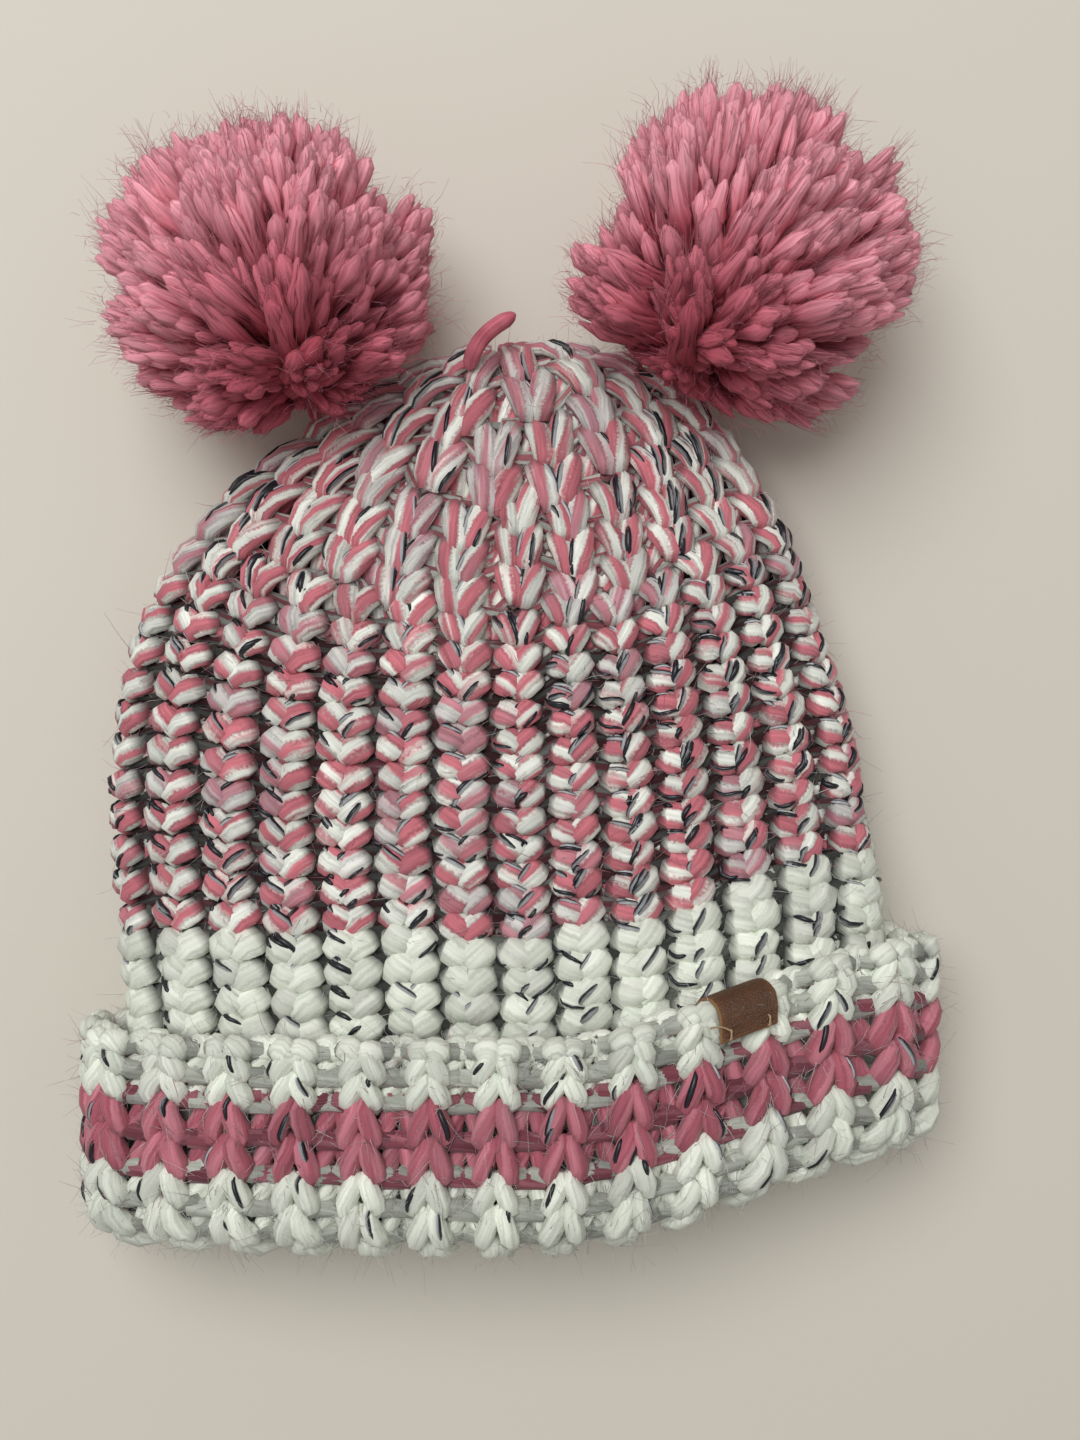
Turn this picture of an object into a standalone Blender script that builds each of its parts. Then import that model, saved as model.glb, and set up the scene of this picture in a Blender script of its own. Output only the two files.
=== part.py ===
# Knitted beanie with two pom poms, lying flat with its crown toward +Y and its front up.
# Lengths are in metres. The origin is the middle of the box that holds it, on the table.

import math

import bmesh
import bpy
import numpy as np
from mathutils import Matrix, Vector

# Fabric of the tube: 1x1 rib in bulky yarn
RIB_COLUMNS = 28
POINTS_PER_RIB = 3
RIB_CREST = 0.0055
RIB_GROOVE = 0.0038
WALL_INSIDE = 0.0050
GAP = 0.0003

# Outline of the flat hat, measured at the middle of the fabric
CENTRE_X = -0.0022
CUFF_CENTRE_X = 0.0
LEFT_HALF_WIDTH = 0.0955
RIGHT_HALF_WIDTH = 0.0890
CUFF_HALF_WIDTH = 0.0905
SHOULDER_Y = -0.0363
CROWN_RISE = 0.1200
LEFT_SHOULDER = (2.65, 1.30)
RIGHT_SHOULDER = (1.28, 3.30)
CROWN_FLATNESS = 4.0
FRONT_ROUNDNESS = 2.5
BACK_ROUNDNESS = 4.5

# Heights of the back and front layers above the table
BACK_Z = 0.0050
FRONT_Z = 0.0330
CROWN_DROP = 0.0050
CROWN_DROP_START = 0.4
CUFF_FRONT_RAISE = 0.0055

# Rows of the tube, from the colour change down to the fold and up the cuff
COLOUR_LINE_Y = -0.0627
FOLD_Y = -0.1278
PINK_LOW_Y = -0.1182
PINK_HIGH_Y = -0.1005
CUFF_TOP_Y = -0.0873
CUFF_OFFSET = 0.0135

# Rings that give the shells their shape: rows of the straight part, and angles up the crown's curve
LOWER_BODY_Y = -0.0500
LOWER_BAND_Y = -0.0740
OUTSIDE_DEGREES = (13, 26, 39, 51, 62, 71, 78, 83, 86)
INSIDE_DEGREES = (85.5, 80, 70, 55, 35, 15)
FOLD_OUTER_DEGREES = (150, 120, 90)
FOLD_INNER_DEGREES = (60, 30)
RIM_DEGREES = (50, 90, 135)

# The lower right of the hat is pushed up toward the crown
RISE = 0.0220
RISE_FROM_X = 0.0070
RISE_TO_X = 0.1000
RISE_FULL_Y = -0.0660
RISE_NONE_Y = 0.0240

# Crown gather, yarn tail
GATHER_HALF_WIDTH = 0.0058
GATHER_HALF_HEIGHT = 0.0022
GATHER_YARN_RADIUS = 0.0015
GATHER_SHIFT_X = 0.0066
GATHER_DEPTH = 0.0022
TAIL_RADIUS = 0.0015
TAIL_ROUTE = (
    (-0.0090, 0.0815, 0.0335),
    (-0.0065, 0.0850, 0.0345),
    (-0.0030, 0.0885, 0.0340),
    (0.0020, 0.0922, 0.0320),
)

# Pom poms: the strands bunch into locks, each with a reach of its own, and creases lie between them
POMPOM_RADIUS = 0.0405
LOCK_COUNT = 44
LOCK_SLOPE = 0.20
CREASE_REACH = 0.82
SHORT_LOCK_REACH = 0.91
BALL_SUBDIVISIONS = 4

# The pivot is where a pom pom's tie meets the crown, the knot is inside the crown
NECK_HOLLOW = 0.0170
NECK_FLAT = 0.0070
POMPOMS = {
    "left": {
        "pivot": (-0.0525, 0.0739, 0.0190),
        "centre": (-0.0590, 0.0990, 0.0405),
        "knot": (-0.0395, 0.0520, 0.0165),
        "seed": 3,
    },
    "right": {
        "pivot": (0.0455, 0.0845, 0.0190),
        "centre": (0.0600, 0.1030, 0.0405),
        "knot": (0.0290, 0.0630, 0.0165),
        "seed": 8,
    },
}
ANCHOR_RADIUS = 0.0018
ANCHOR_HOLE_RADIUS = 0.0023
ANCHOR_EYE_RADIUS = 0.0026
ANCHOR_KNOT_RADIUS = 0.0030
LINK_RADIUS = 0.0022
LINK_START = 0.0032
LINK_END = 0.0106
BINDING_START = 0.0110
BINDING_RADIUS = 0.0038
BINDING_YARN_RADIUS = 0.0026

# Leather tab folded over the cuff's upper edge, and its two stitches
TAG_X = 0.0570
TAG_WIDTH = 0.0135
TAG_FRONT_LENGTH = 0.0105
TAG_BACK_LENGTH = 0.0090
TAG_THICKNESS = 0.0011
TAG_CLEARANCE = 0.0004
TAG_ACROSS = 6
STITCH_INSET = 0.0022
STITCH_BELOW_TOP = 0.0075
STITCH_RADIUS = 0.0004
STITCH_HOLE_RADIUS = 0.0008
STITCH_HEAD_RADIUS = 0.0010
STITCH_HEAD_HEIGHT = 0.0004
STITCH_STAND_OFF = 0.0006

# Steps round small turned and wound pieces
TURN_STEPS = 12
ARC_POINTS = 5
GATHER_STEPS = 16
HOLE_SIDES = 10

# Colours as linear red, green, blue, and the roughness of each material
MARL_PINK = (0.56, 0.27, 0.30)
WHITE_YARN = (0.75, 0.75, 0.68)
ROSE_YARN = (0.45, 0.09, 0.13)
POMPOM_PINK = (0.50, 0.12, 0.17)
LEATHER_BROWN = (0.09, 0.03, 0.008)
THREAD_TAN = (0.42, 0.26, 0.12)
YARN_ROUGHNESS = 0.95
LEATHER_ROUGHNESS = 0.55
THREAD_ROUGHNESS = 0.80


def remove_all_objects():
    for thing in list(bpy.data.objects):
        bpy.data.objects.remove(thing, do_unlink=True)


def make_material(name, colour, roughness):
    material = bpy.data.materials.new(name)
    material.use_nodes = True
    shader = material.node_tree.nodes["Principled BSDF"]
    shader.inputs["Base Color"].default_value = (*colour, 1.0)
    shader.inputs["Roughness"].default_value = roughness
    shader.inputs["Metallic"].default_value = 0.0
    return material


def add_object(name, mesh, material):
    thing = bpy.data.objects.new(name, mesh)
    bpy.context.scene.collection.objects.link(thing)
    if material is not None:
        mesh.materials.append(material)
    return thing


def smooth_step(value, low, high):
    share = np.clip((np.asarray(value, float) - low) / (high - low), 0.0, 1.0)
    return share * share * (3.0 - 2.0 * share)


def section(angle):
    # One unit turn round the flattened tube: a rounder front (sine above 0) and a flatter back
    power = 2.0 / np.where(np.sin(angle) >= 0.0, FRONT_ROUNDNESS, BACK_ROUNDNESS)
    across = np.sign(np.cos(angle)) * np.abs(np.cos(angle)) ** power
    upward = np.sign(np.sin(angle)) * np.abs(np.sin(angle)) ** power
    return across, upward


def turn_angles(fractions):
    # Equal steps of the fraction are equal lengths of fabric round the middle of the body
    angle = np.linspace(0.0, 2.0 * math.pi, 4001)
    across, upward = section(angle)
    half_width = (LEFT_HALF_WIDTH + RIGHT_HALF_WIDTH) / 2.0
    half_height = (FRONT_Z - BACK_Z) / 2.0
    steps = np.hypot(np.diff(across) * half_width, np.diff(upward) * half_height)
    length = np.concatenate([[0.0], np.cumsum(steps)])
    return np.interp(fractions, length / length[-1], angle)


def fabric_points(fractions, row_y, out):
    # Points at loop fractions on the row whose fabric middle lies at row_y, moved outward by out
    across, upward = section(turn_angles(fractions))
    crown = np.clip((row_y - SHOULDER_Y) / CROWN_RISE, 0.0, 1.0)
    left_power, left_root = LEFT_SHOULDER
    right_power, right_root = RIGHT_SHOULDER
    left_share = (1.0 - crown**left_power) ** (1.0 / left_root)
    right_share = (1.0 - crown**right_power) ** (1.0 / right_root)
    height_share = (1.0 - crown**CROWN_FLATNESS) ** (1.0 / CROWN_FLATNESS)

    in_cuff = 1.0 - smooth_step(row_y, CUFF_TOP_Y, SHOULDER_Y)
    left_width = LEFT_HALF_WIDTH + (CUFF_HALF_WIDTH - LEFT_HALF_WIDTH) * in_cuff
    right_width = RIGHT_HALF_WIDTH + (CUFF_HALF_WIDTH - RIGHT_HALF_WIDTH) * in_cuff
    half_width = np.where(across < 0.0, (left_width + out) * left_share, (right_width + out) * right_share)
    centre_x = CENTRE_X + (CUFF_CENTRE_X - CENTRE_X) * in_cuff

    back = BACK_Z + CUFF_OFFSET * in_cuff
    front = FRONT_Z + CUFF_FRONT_RAISE * in_cuff - CROWN_DROP * smooth_step(crown, CROWN_DROP_START, 1.0)
    half_height = ((front - back) / 2.0 + out) * height_share

    x = centre_x + across * half_width
    y = row_y + out * crown
    lifted = 1.0 - smooth_step(y, RISE_FULL_Y, RISE_NONE_Y)
    y = y + RISE * smooth_step(x, RISE_FROM_X, RISE_TO_X) * lifted
    z = (front + back) / 2.0 + upward * half_height
    return np.stack([x, y, np.maximum(z, 0.0)], axis=1)


def rib_steps():
    count = RIB_COLUMNS * POINTS_PER_RIB
    crest = np.arange(count) % POINTS_PER_RIB != 0
    return np.arange(count) / count, np.where(crest, RIB_CREST, RIB_GROOVE)


def ring(row_y, out, ribbed):
    fractions, rib = rib_steps()
    return fabric_points(fractions, row_y, out + rib * ribbed)


def build_band(name, rings, material):
    # A closed band: each ring is joined to the next one and the last to the first
    mesh = bpy.data.meshes.new(name)
    shape = bmesh.new()
    loops = [[shape.verts.new(point) for point in points] for points in rings]
    for lower, upper in zip(loops, loops[1:] + loops[:1]):
        for k in range(len(lower)):
            after = (k + 1) % len(lower)
            shape.faces.new((lower[k], lower[after], upper[after], upper[k]))
    bmesh.ops.recalc_face_normals(shape, faces=shape.faces)
    shape.to_mesh(mesh)
    shape.free()
    mesh.shade_smooth()
    mesh.set_sharp_from_angle(angle=math.radians(60.0))
    return add_object(name, mesh, material)


def crown_row(degrees):
    return SHOULDER_Y + CROWN_RISE * math.sin(math.radians(degrees))


def make_marl_body(material):
    straight = [COLOUR_LINE_Y + GAP, LOWER_BODY_Y, SHOULDER_Y]
    outside = straight + [crown_row(degrees) for degrees in OUTSIDE_DEGREES]
    inside = [crown_row(degrees) for degrees in INSIDE_DEGREES] + straight[::-1]
    rings = [ring(y, 0.0, 1.0) for y in outside]
    rings += [ring(y, -WALL_INSIDE, 0.0) for y in inside]
    return build_band("marl_body", rings, material)


def fold_ring(degrees, radius, ribbed):
    # The fold turns the tube outward round a line half the cuff's offset outside the tube
    turn = math.radians(degrees)
    middle = CUFF_OFFSET / 2.0
    fractions, rib = rib_steps()
    reach = radius + (rib - RIB_CREST) * ribbed
    return fabric_points(fractions, FOLD_Y - reach * math.sin(turn), middle - reach * math.cos(turn))


def make_white_band(material):
    cuff_inside = CUFF_OFFSET - WALL_INSIDE
    straight = (COLOUR_LINE_Y, LOWER_BAND_Y, CUFF_TOP_Y, FOLD_Y)
    rings = [ring(y, 0.0, 1.0) for y in straight]
    rings += [ring(FOLD_Y, cuff_inside, 0.0), ring(PINK_LOW_Y, cuff_inside, 0.0)]
    rings += [ring(PINK_LOW_Y, CUFF_OFFSET, 1.0), ring(FOLD_Y, CUFF_OFFSET, 1.0)]
    rings += [fold_ring(degrees, CUFF_OFFSET / 2.0 + RIB_CREST, 1.0) for degrees in FOLD_OUTER_DEGREES]
    rings += [fold_ring(degrees, CUFF_OFFSET / 2.0 + WALL_INSIDE, 0.0) for degrees in FOLD_INNER_DEGREES]
    rings += [ring(y, -WALL_INSIDE, 0.0) for y in straight[::-1]]
    return build_band("white_band", rings, material)


def make_pink_stripe(material):
    low = PINK_LOW_Y + GAP
    high = PINK_HIGH_Y - GAP
    rings = [ring(y, CUFF_OFFSET, 1.0) for y in (low, (low + high) / 2.0, high)]
    rings += [ring(y, CUFF_OFFSET - WALL_INSIDE, 0.0) for y in (high, low)]
    return build_band("pink_stripe", rings, material)


def make_cast_on_edge(material):
    # The edge is rounded over: from the ribbed outside, over the rim, to the plain inside
    inside = CUFF_OFFSET - WALL_INSIDE
    rim_y = CUFF_TOP_Y - WALL_INSIDE
    rings = [ring(PINK_HIGH_Y, CUFF_OFFSET, 1.0), ring(rim_y, CUFF_OFFSET, 1.0)]
    for degrees in RIM_DEGREES:
        turn = math.radians(degrees)
        ribbed = max(math.cos(turn), 0.0)
        plain = min(math.cos(turn), 0.0) * WALL_INSIDE
        rings.append(ring(rim_y + WALL_INSIDE * math.sin(turn), CUFF_OFFSET + plain, ribbed))
    rings += [ring(rim_y, inside, 0.0), ring(PINK_HIGH_Y, inside, 0.0)]
    return build_band("cast_on_edge", rings, material)


def turned_object(name, profile, place, material, closed=False):
    # A profile of (radius, height) points turned about the local Z axis
    mesh = bpy.data.meshes.new(name)
    points = [(radius, 0.0, height) for radius, height in profile]
    edges = [(k, k + 1) for k in range(len(points) - 1)]
    if closed:
        edges.append((len(points) - 1, 0))
    mesh.from_pydata(points, edges, [])
    thing = add_object(name, mesh, material)
    thing.matrix_world = place
    screw = thing.modifiers.new("turn", "SCREW")
    screw.steps = TURN_STEPS
    screw.render_steps = TURN_STEPS
    screw.use_merge_vertices = True
    screw.merge_threshold = 0.00001
    screw.use_smooth_shade = True
    return thing


def place_along(start, toward):
    # Local Z points from start toward the other point, and local X stays level
    z_axis = (Vector(toward) - Vector(start)).normalized()
    x_axis = z_axis.cross(Vector((0.0, 0.0, 1.0))).normalized()
    y_axis = z_axis.cross(x_axis)
    turn = Matrix((x_axis, y_axis, z_axis)).transposed().to_4x4()
    return Matrix.Translation(start) @ turn


def ball_arc(centre, radius, start, end):
    # Points of a ball's outline about the axis; angles are measured from its upper pole
    angles = [math.radians(start + (end - start) * k / (ARC_POINTS - 1)) for k in range(ARC_POINTS)]
    return [(max(radius * math.sin(a), 0.0), centre + radius * math.cos(a)) for a in angles]


def make_anchor(side, spec, material):
    # One yarn: an eye at the pivot, a stem through the crown's wall and a knot inside
    length = (Vector(spec["knot"]) - Vector(spec["pivot"])).length
    knot_turn = math.degrees(math.asin(ANCHOR_RADIUS / ANCHOR_KNOT_RADIUS))
    eye_turn = math.degrees(math.asin(ANCHOR_RADIUS / ANCHOR_EYE_RADIUS))
    profile = ball_arc(length, ANCHOR_KNOT_RADIUS, 0.0, 180.0 - knot_turn)
    profile += ball_arc(0.0, ANCHOR_EYE_RADIUS, eye_turn, 180.0)
    place = place_along(spec["pivot"], spec["knot"])
    return turned_object(f"{side}_anchor_yarn", profile, place, material)


def make_link(side, spec, material):
    profile = ball_arc(LINK_END - LINK_RADIUS, LINK_RADIUS, 0.0, 90.0)
    profile += ball_arc(LINK_START + LINK_RADIUS, LINK_RADIUS, 90.0, 180.0)
    return turned_object(f"{side}_link_loop", profile, place_along(spec["pivot"], spec["centre"]), material)


def make_binding(side, spec, material):
    middle = BINDING_START + BINDING_YARN_RADIUS
    turns = [2.0 * math.pi * k / TURN_STEPS for k in range(TURN_STEPS)]
    profile = [
        (BINDING_RADIUS + BINDING_YARN_RADIUS * math.cos(a), middle - BINDING_YARN_RADIUS * math.sin(a))
        for a in turns
    ]
    place = place_along(spec["pivot"], spec["centre"])
    return turned_object(f"{side}_binding", profile, place, material, closed=True)


def make_hidden_cutter(name, shape):
    mesh = bpy.data.meshes.new(name)
    shape.to_mesh(mesh)
    shape.free()
    cutter = add_object(name, mesh, None)
    cutter.hide_render = True
    cutter.display_type = "WIRE"
    return cutter


def cut(thing, cutter):
    modifier = thing.modifiers.new(f"cut by {cutter.name}", "BOOLEAN")
    modifier.operation = "DIFFERENCE"
    modifier.solver = "EXACT"
    modifier.object = cutter


def lock_reach(directions, seed):
    # Share of the ball's radius in each direction: full over a lock, less midway between two locks
    chance = np.random.default_rng(seed)
    locks = chance.standard_normal((LOCK_COUNT, 3))
    locks /= np.linalg.norm(locks, axis=1, keepdims=True)
    tops = SHORT_LOCK_REACH + (1.0 - SHORT_LOCK_REACH) * chance.random(LOCK_COUNT)
    angles = np.arccos(np.clip(directions @ locks.T, -1.0, 1.0))
    nearest, second = np.sort(angles, axis=1)[:, :2].T
    rise = smooth_step(second - nearest, 0.0, LOCK_SLOPE)
    return CREASE_REACH + (tops[np.argmin(angles, axis=1)] - CREASE_REACH) * rise


def make_pompom(side, spec, material):
    # A ball of locks, flat where it faces the crown, with a hollow there for the tie and the binding
    place = place_along(spec["pivot"], spec["centre"])
    distance = (Vector(spec["centre"]) - Vector(spec["pivot"])).length
    shape = bmesh.new()
    bmesh.ops.create_icosphere(shape, subdivisions=BALL_SUBDIVISIONS, radius=1.0)
    directions = np.array([vert.co for vert in shape.verts]) @ np.array(place.to_3x3()).T
    for vert, share in zip(shape.verts, lock_reach(directions, spec["seed"])):
        vert.co *= POMPOM_RADIUS * share
        vert.co.z = max(vert.co.z + distance, NECK_FLAT)
    mesh = bpy.data.meshes.new(f"{side}_pompom")
    shape.to_mesh(mesh)
    shape.free()
    mesh.shade_smooth()
    ball = add_object(f"{side}_pompom", mesh, material)
    ball.matrix_world = place

    hollow = bmesh.new()
    bmesh.ops.create_icosphere(hollow, subdivisions=3, radius=NECK_HOLLOW)
    cutter = make_hidden_cutter(f"{side}_neck_hollow", hollow)
    cutter.matrix_world = place
    cut(ball, cutter)
    return ball


def make_drill(name, start, end, radius):
    # A hidden cutter that bores a straight hole from start to end
    length = (Vector(end) - Vector(start)).length
    shape = bmesh.new()
    sizes = {"radius1": radius, "radius2": radius, "depth": length}
    bmesh.ops.create_cone(shape, cap_ends=True, segments=HOLE_SIDES, **sizes)
    drill = make_hidden_cutter(name, shape)
    drill.matrix_world = place_along(start, end) @ Matrix.Translation((0.0, 0.0, length / 2.0))
    return drill


def cut_anchor_hole(body, side, spec):
    cut(body, make_drill(f"{side}_anchor_hole", spec["pivot"], spec["knot"], ANCHOR_HOLE_RADIUS))


def make_gather(material):
    # A closed oval of yarn inside the drawn-up hole at the top of the crown
    curve = bpy.data.curves.new("crown_gather_yarn", "CURVE")
    curve.dimensions = "3D"
    curve.bevel_depth = GATHER_YARN_RADIUS
    curve.bevel_resolution = 2
    spline = curve.splines.new("POLY")
    spline.points.add(GATHER_STEPS - 1)
    spline.use_cyclic_u = True
    top_y = SHOULDER_Y + CROWN_RISE + RIB_CREST - GATHER_DEPTH
    middle_z = (FRONT_Z - CROWN_DROP + BACK_Z) / 2.0
    for k, point in enumerate(spline.points):
        turn = 2.0 * math.pi * k / GATHER_STEPS
        x = CENTRE_X + GATHER_SHIFT_X + GATHER_HALF_WIDTH * math.cos(turn)
        point.co = (x, top_y, middle_z + GATHER_HALF_HEIGHT * math.sin(turn), 1.0)
    thing = bpy.data.objects.new("crown_gather_yarn", curve)
    curve.materials.append(material)
    bpy.context.scene.collection.objects.link(thing)
    return thing


def make_tail(material):
    curve = bpy.data.curves.new("yarn_tail", "CURVE")
    curve.dimensions = "3D"
    curve.bevel_depth = TAIL_RADIUS
    curve.bevel_resolution = 2
    curve.use_fill_caps = True
    spline = curve.splines.new("POLY")
    spline.points.add(len(TAIL_ROUTE) - 1)
    for point, place in zip(spline.points, TAIL_ROUTE):
        point.co = (*place, 1.0)
    thing = bpy.data.objects.new("yarn_tail", curve)
    curve.materials.append(material)
    bpy.context.scene.collection.objects.link(thing)
    return thing


def cuff_fraction(x):
    # Loop fraction at which the cuff's front has this x
    fractions = np.linspace(0.0, 0.5, 1001)
    along = fabric_points(fractions, CUFF_TOP_Y, CUFF_OFFSET + RIB_CREST)[:, 0]
    return float(np.interp(-x, -along, fractions))


def tag_path():
    # The tab's middle line in (row, offset): up the front, over the rim and down behind
    half = TAG_THICKNESS / 2.0
    front = CUFF_OFFSET + RIB_CREST + TAG_CLEARANCE + half
    back = CUFF_OFFSET - WALL_INSIDE - TAG_CLEARANCE - half
    middle = (front + back) / 2.0
    reach = (front - back) / 2.0
    rim_y = CUFF_TOP_Y - WALL_INSIDE + TAG_CLEARANCE
    path = [(rim_y + reach - TAG_FRONT_LENGTH, front), (rim_y, front)]
    for degrees in (30, 60, 90, 120, 150):
        turn = math.radians(degrees)
        path.append((rim_y + reach * math.sin(turn), middle + reach * math.cos(turn)))
    path += [(rim_y, back), (rim_y + reach - TAG_BACK_LENGTH, back)]
    return path


def offset_path(path, distance):
    moved = []
    for k, (row, out) in enumerate(path):
        before = path[max(k - 1, 0)]
        after = path[min(k + 1, len(path) - 1)]
        run, climb = after[0] - before[0], after[1] - before[1]
        length = math.hypot(run, climb)
        moved.append((row - climb / length * distance, out + run / length * distance))
    return moved


def make_tag(material):
    places = TAG_X + TAG_WIDTH * np.linspace(-0.5, 0.5, TAG_ACROSS + 1)
    fractions = np.array([cuff_fraction(x) for x in places])
    path = tag_path()
    outline = offset_path(path, TAG_THICKNESS / 2.0)
    outline += offset_path(path, -TAG_THICKNESS / 2.0)[::-1]
    mesh = bpy.data.meshes.new("leather_tag")
    shape = bmesh.new()
    rows = [[shape.verts.new(point) for point in fabric_points(fractions, row, out)] for row, out in outline]
    for one, two in zip(rows, rows[1:] + rows[:1]):
        for k in range(TAG_ACROSS):
            shape.faces.new((one[k], one[k + 1], two[k + 1], two[k]))
    half = len(path)
    for side in (0, TAG_ACROSS):
        for k in range(half - 1):
            far = len(rows) - 1 - k
            shape.faces.new((rows[k][side], rows[k + 1][side], rows[far - 1][side], rows[far][side]))
    bmesh.ops.recalc_face_normals(shape, faces=shape.faces)
    shape.to_mesh(mesh)
    shape.free()
    mesh.shade_smooth()
    mesh.set_sharp_from_angle(angle=math.radians(50.0))
    return add_object("leather_tag", mesh, material)


def stitch_ends(side):
    x = TAG_X + side * (TAG_WIDTH / 2.0 - STITCH_INSET)
    fraction = np.array([cuff_fraction(x)])
    row = CUFF_TOP_Y - STITCH_BELOW_TOP
    front = CUFF_OFFSET + RIB_CREST + TAG_CLEARANCE + TAG_THICKNESS + STITCH_STAND_OFF
    back = CUFF_OFFSET - WALL_INSIDE - TAG_CLEARANCE - TAG_THICKNESS - STITCH_STAND_OFF
    return fabric_points(fraction, row, back)[0], fabric_points(fraction, row, front)[0]


def make_stitch(name, side, material, pierced):
    # A thread through both flaps and the knitted edge, with a small knot on each face
    back, front = stitch_ends(side)
    length = float(np.linalg.norm(front - back))
    profile = [
        (0.0, length + STITCH_HEAD_HEIGHT),
        (STITCH_HEAD_RADIUS, length + STITCH_HEAD_HEIGHT / 2.0),
        (STITCH_HEAD_RADIUS, length),
        (STITCH_RADIUS, length),
        (STITCH_RADIUS, 0.0),
        (STITCH_HEAD_RADIUS, 0.0),
        (STITCH_HEAD_RADIUS, -STITCH_HEAD_HEIGHT / 2.0),
        (0.0, -STITCH_HEAD_HEIGHT),
    ]
    turned_object(name, profile, place_along(back, front), material)
    drill = make_drill(f"{name}_hole", back, front, STITCH_HOLE_RADIUS)
    for thing in pierced:
        cut(thing, drill)


def build():
    remove_all_objects()
    marl = make_material("marl yarn", MARL_PINK, YARN_ROUGHNESS)
    white = make_material("white yarn", WHITE_YARN, YARN_ROUGHNESS)
    rose = make_material("rose yarn", ROSE_YARN, YARN_ROUGHNESS)
    tufts = make_material("pom pom yarn", POMPOM_PINK, YARN_ROUGHNESS)
    leather = make_material("brown leather", LEATHER_BROWN, LEATHER_ROUGHNESS)
    thread = make_material("tan thread", THREAD_TAN, THREAD_ROUGHNESS)

    body = make_marl_body(marl)
    make_white_band(white)
    make_pink_stripe(rose)
    edge = make_cast_on_edge(white)
    make_gather(marl)
    make_tail(tufts)
    tag = make_tag(leather)
    make_stitch("tag_stitch_left", -1.0, thread, (tag, edge))
    make_stitch("tag_stitch_right", 1.0, thread, (tag, edge))
    for side, spec in POMPOMS.items():
        make_anchor(side, spec, tufts)
        make_link(side, spec, tufts)
        make_binding(side, spec, tufts)
        make_pompom(side, spec, tufts)
        cut_anchor_hole(body, side, spec)


build()
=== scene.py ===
import math

import bpy
import numpy as np
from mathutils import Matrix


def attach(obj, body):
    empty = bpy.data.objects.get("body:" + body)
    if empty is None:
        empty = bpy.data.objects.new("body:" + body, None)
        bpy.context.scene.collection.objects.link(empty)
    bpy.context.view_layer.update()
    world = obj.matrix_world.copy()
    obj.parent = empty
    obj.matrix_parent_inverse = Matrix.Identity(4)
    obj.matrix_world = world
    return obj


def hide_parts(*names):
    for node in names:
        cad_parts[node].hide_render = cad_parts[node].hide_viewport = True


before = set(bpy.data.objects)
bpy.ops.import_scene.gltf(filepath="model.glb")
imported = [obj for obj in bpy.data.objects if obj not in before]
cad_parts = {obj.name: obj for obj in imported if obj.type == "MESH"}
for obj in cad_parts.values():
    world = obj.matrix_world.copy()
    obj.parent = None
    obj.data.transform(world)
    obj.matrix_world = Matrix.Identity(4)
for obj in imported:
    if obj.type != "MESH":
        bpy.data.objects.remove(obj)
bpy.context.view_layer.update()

# The flat tube that the knitting follows, in metres: the same outline as the solids
tube = {
    "columns": 28,
    "centreX": -0.0022, "cuffCentreX": 0.0,
    "leftHalfWidth": 0.0955, "rightHalfWidth": 0.0890, "cuffHalfWidth": 0.0905,
    "shoulderY": -0.0363, "crownRise": 0.1200,
    "leftShoulder": (2.65, 1.30), "rightShoulder": (1.28, 3.30), "crownFlatness": 4.0,
    "frontRoundness": 2.5, "backRoundness": 4.5,
    "backZ": 0.0050, "frontZ": 0.0330, "crownDrop": 0.0050, "crownDropStart": 0.4,
    "cuffFrontRaise": 0.0055,
    "colourLineY": -0.0627, "foldY": -0.1278, "cuffTopY": -0.0873, "cuffOffset": 0.0135,
    "rise": 0.0220, "riseFromX": 0.0070, "riseToX": 0.1000, "riseFullY": -0.0660, "riseNoneY": 0.0240,
}


def smoothStep(value, low, high):
    # 0 below low, 1 above high, and the curve 3t^2 - 2t^3 between them
    share = np.clip((np.asarray(value, float) - low) / (high - low), 0.0, 1.0)
    return share * share * (3.0 - 2.0 * share)


def unit(vectors):
    return vectors / np.maximum(np.linalg.norm(vectors, axis=-1, keepdims=True), 1e-9)


def section(angle):
    # one turn round the flat tube: a power ellipse, rounder at the front than at the back
    power = 2.0 / np.where(np.sin(angle) >= 0.0, tube["frontRoundness"], tube["backRoundness"])
    across = np.sign(np.cos(angle)) * np.abs(np.cos(angle)) ** power
    upward = np.sign(np.sin(angle)) * np.abs(np.sin(angle)) ** power
    return across, upward


def makeTurnTable():
    # equal shares of the turn are equal lengths of fabric, so the loop's length is inverted once
    angle = np.linspace(0.0, 2.0 * math.pi, 4001)
    across, upward = section(angle)
    halfWidth = (tube["leftHalfWidth"] + tube["rightHalfWidth"]) / 2.0
    halfHeight = (tube["frontZ"] - tube["backZ"]) / 2.0
    steps = np.hypot(np.diff(across) * halfWidth, np.diff(upward) * halfHeight)
    length = np.concatenate([[0.0], np.cumsum(steps)])
    return length / length[-1], angle


turnShares, turnAngles = makeTurnTable()


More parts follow.
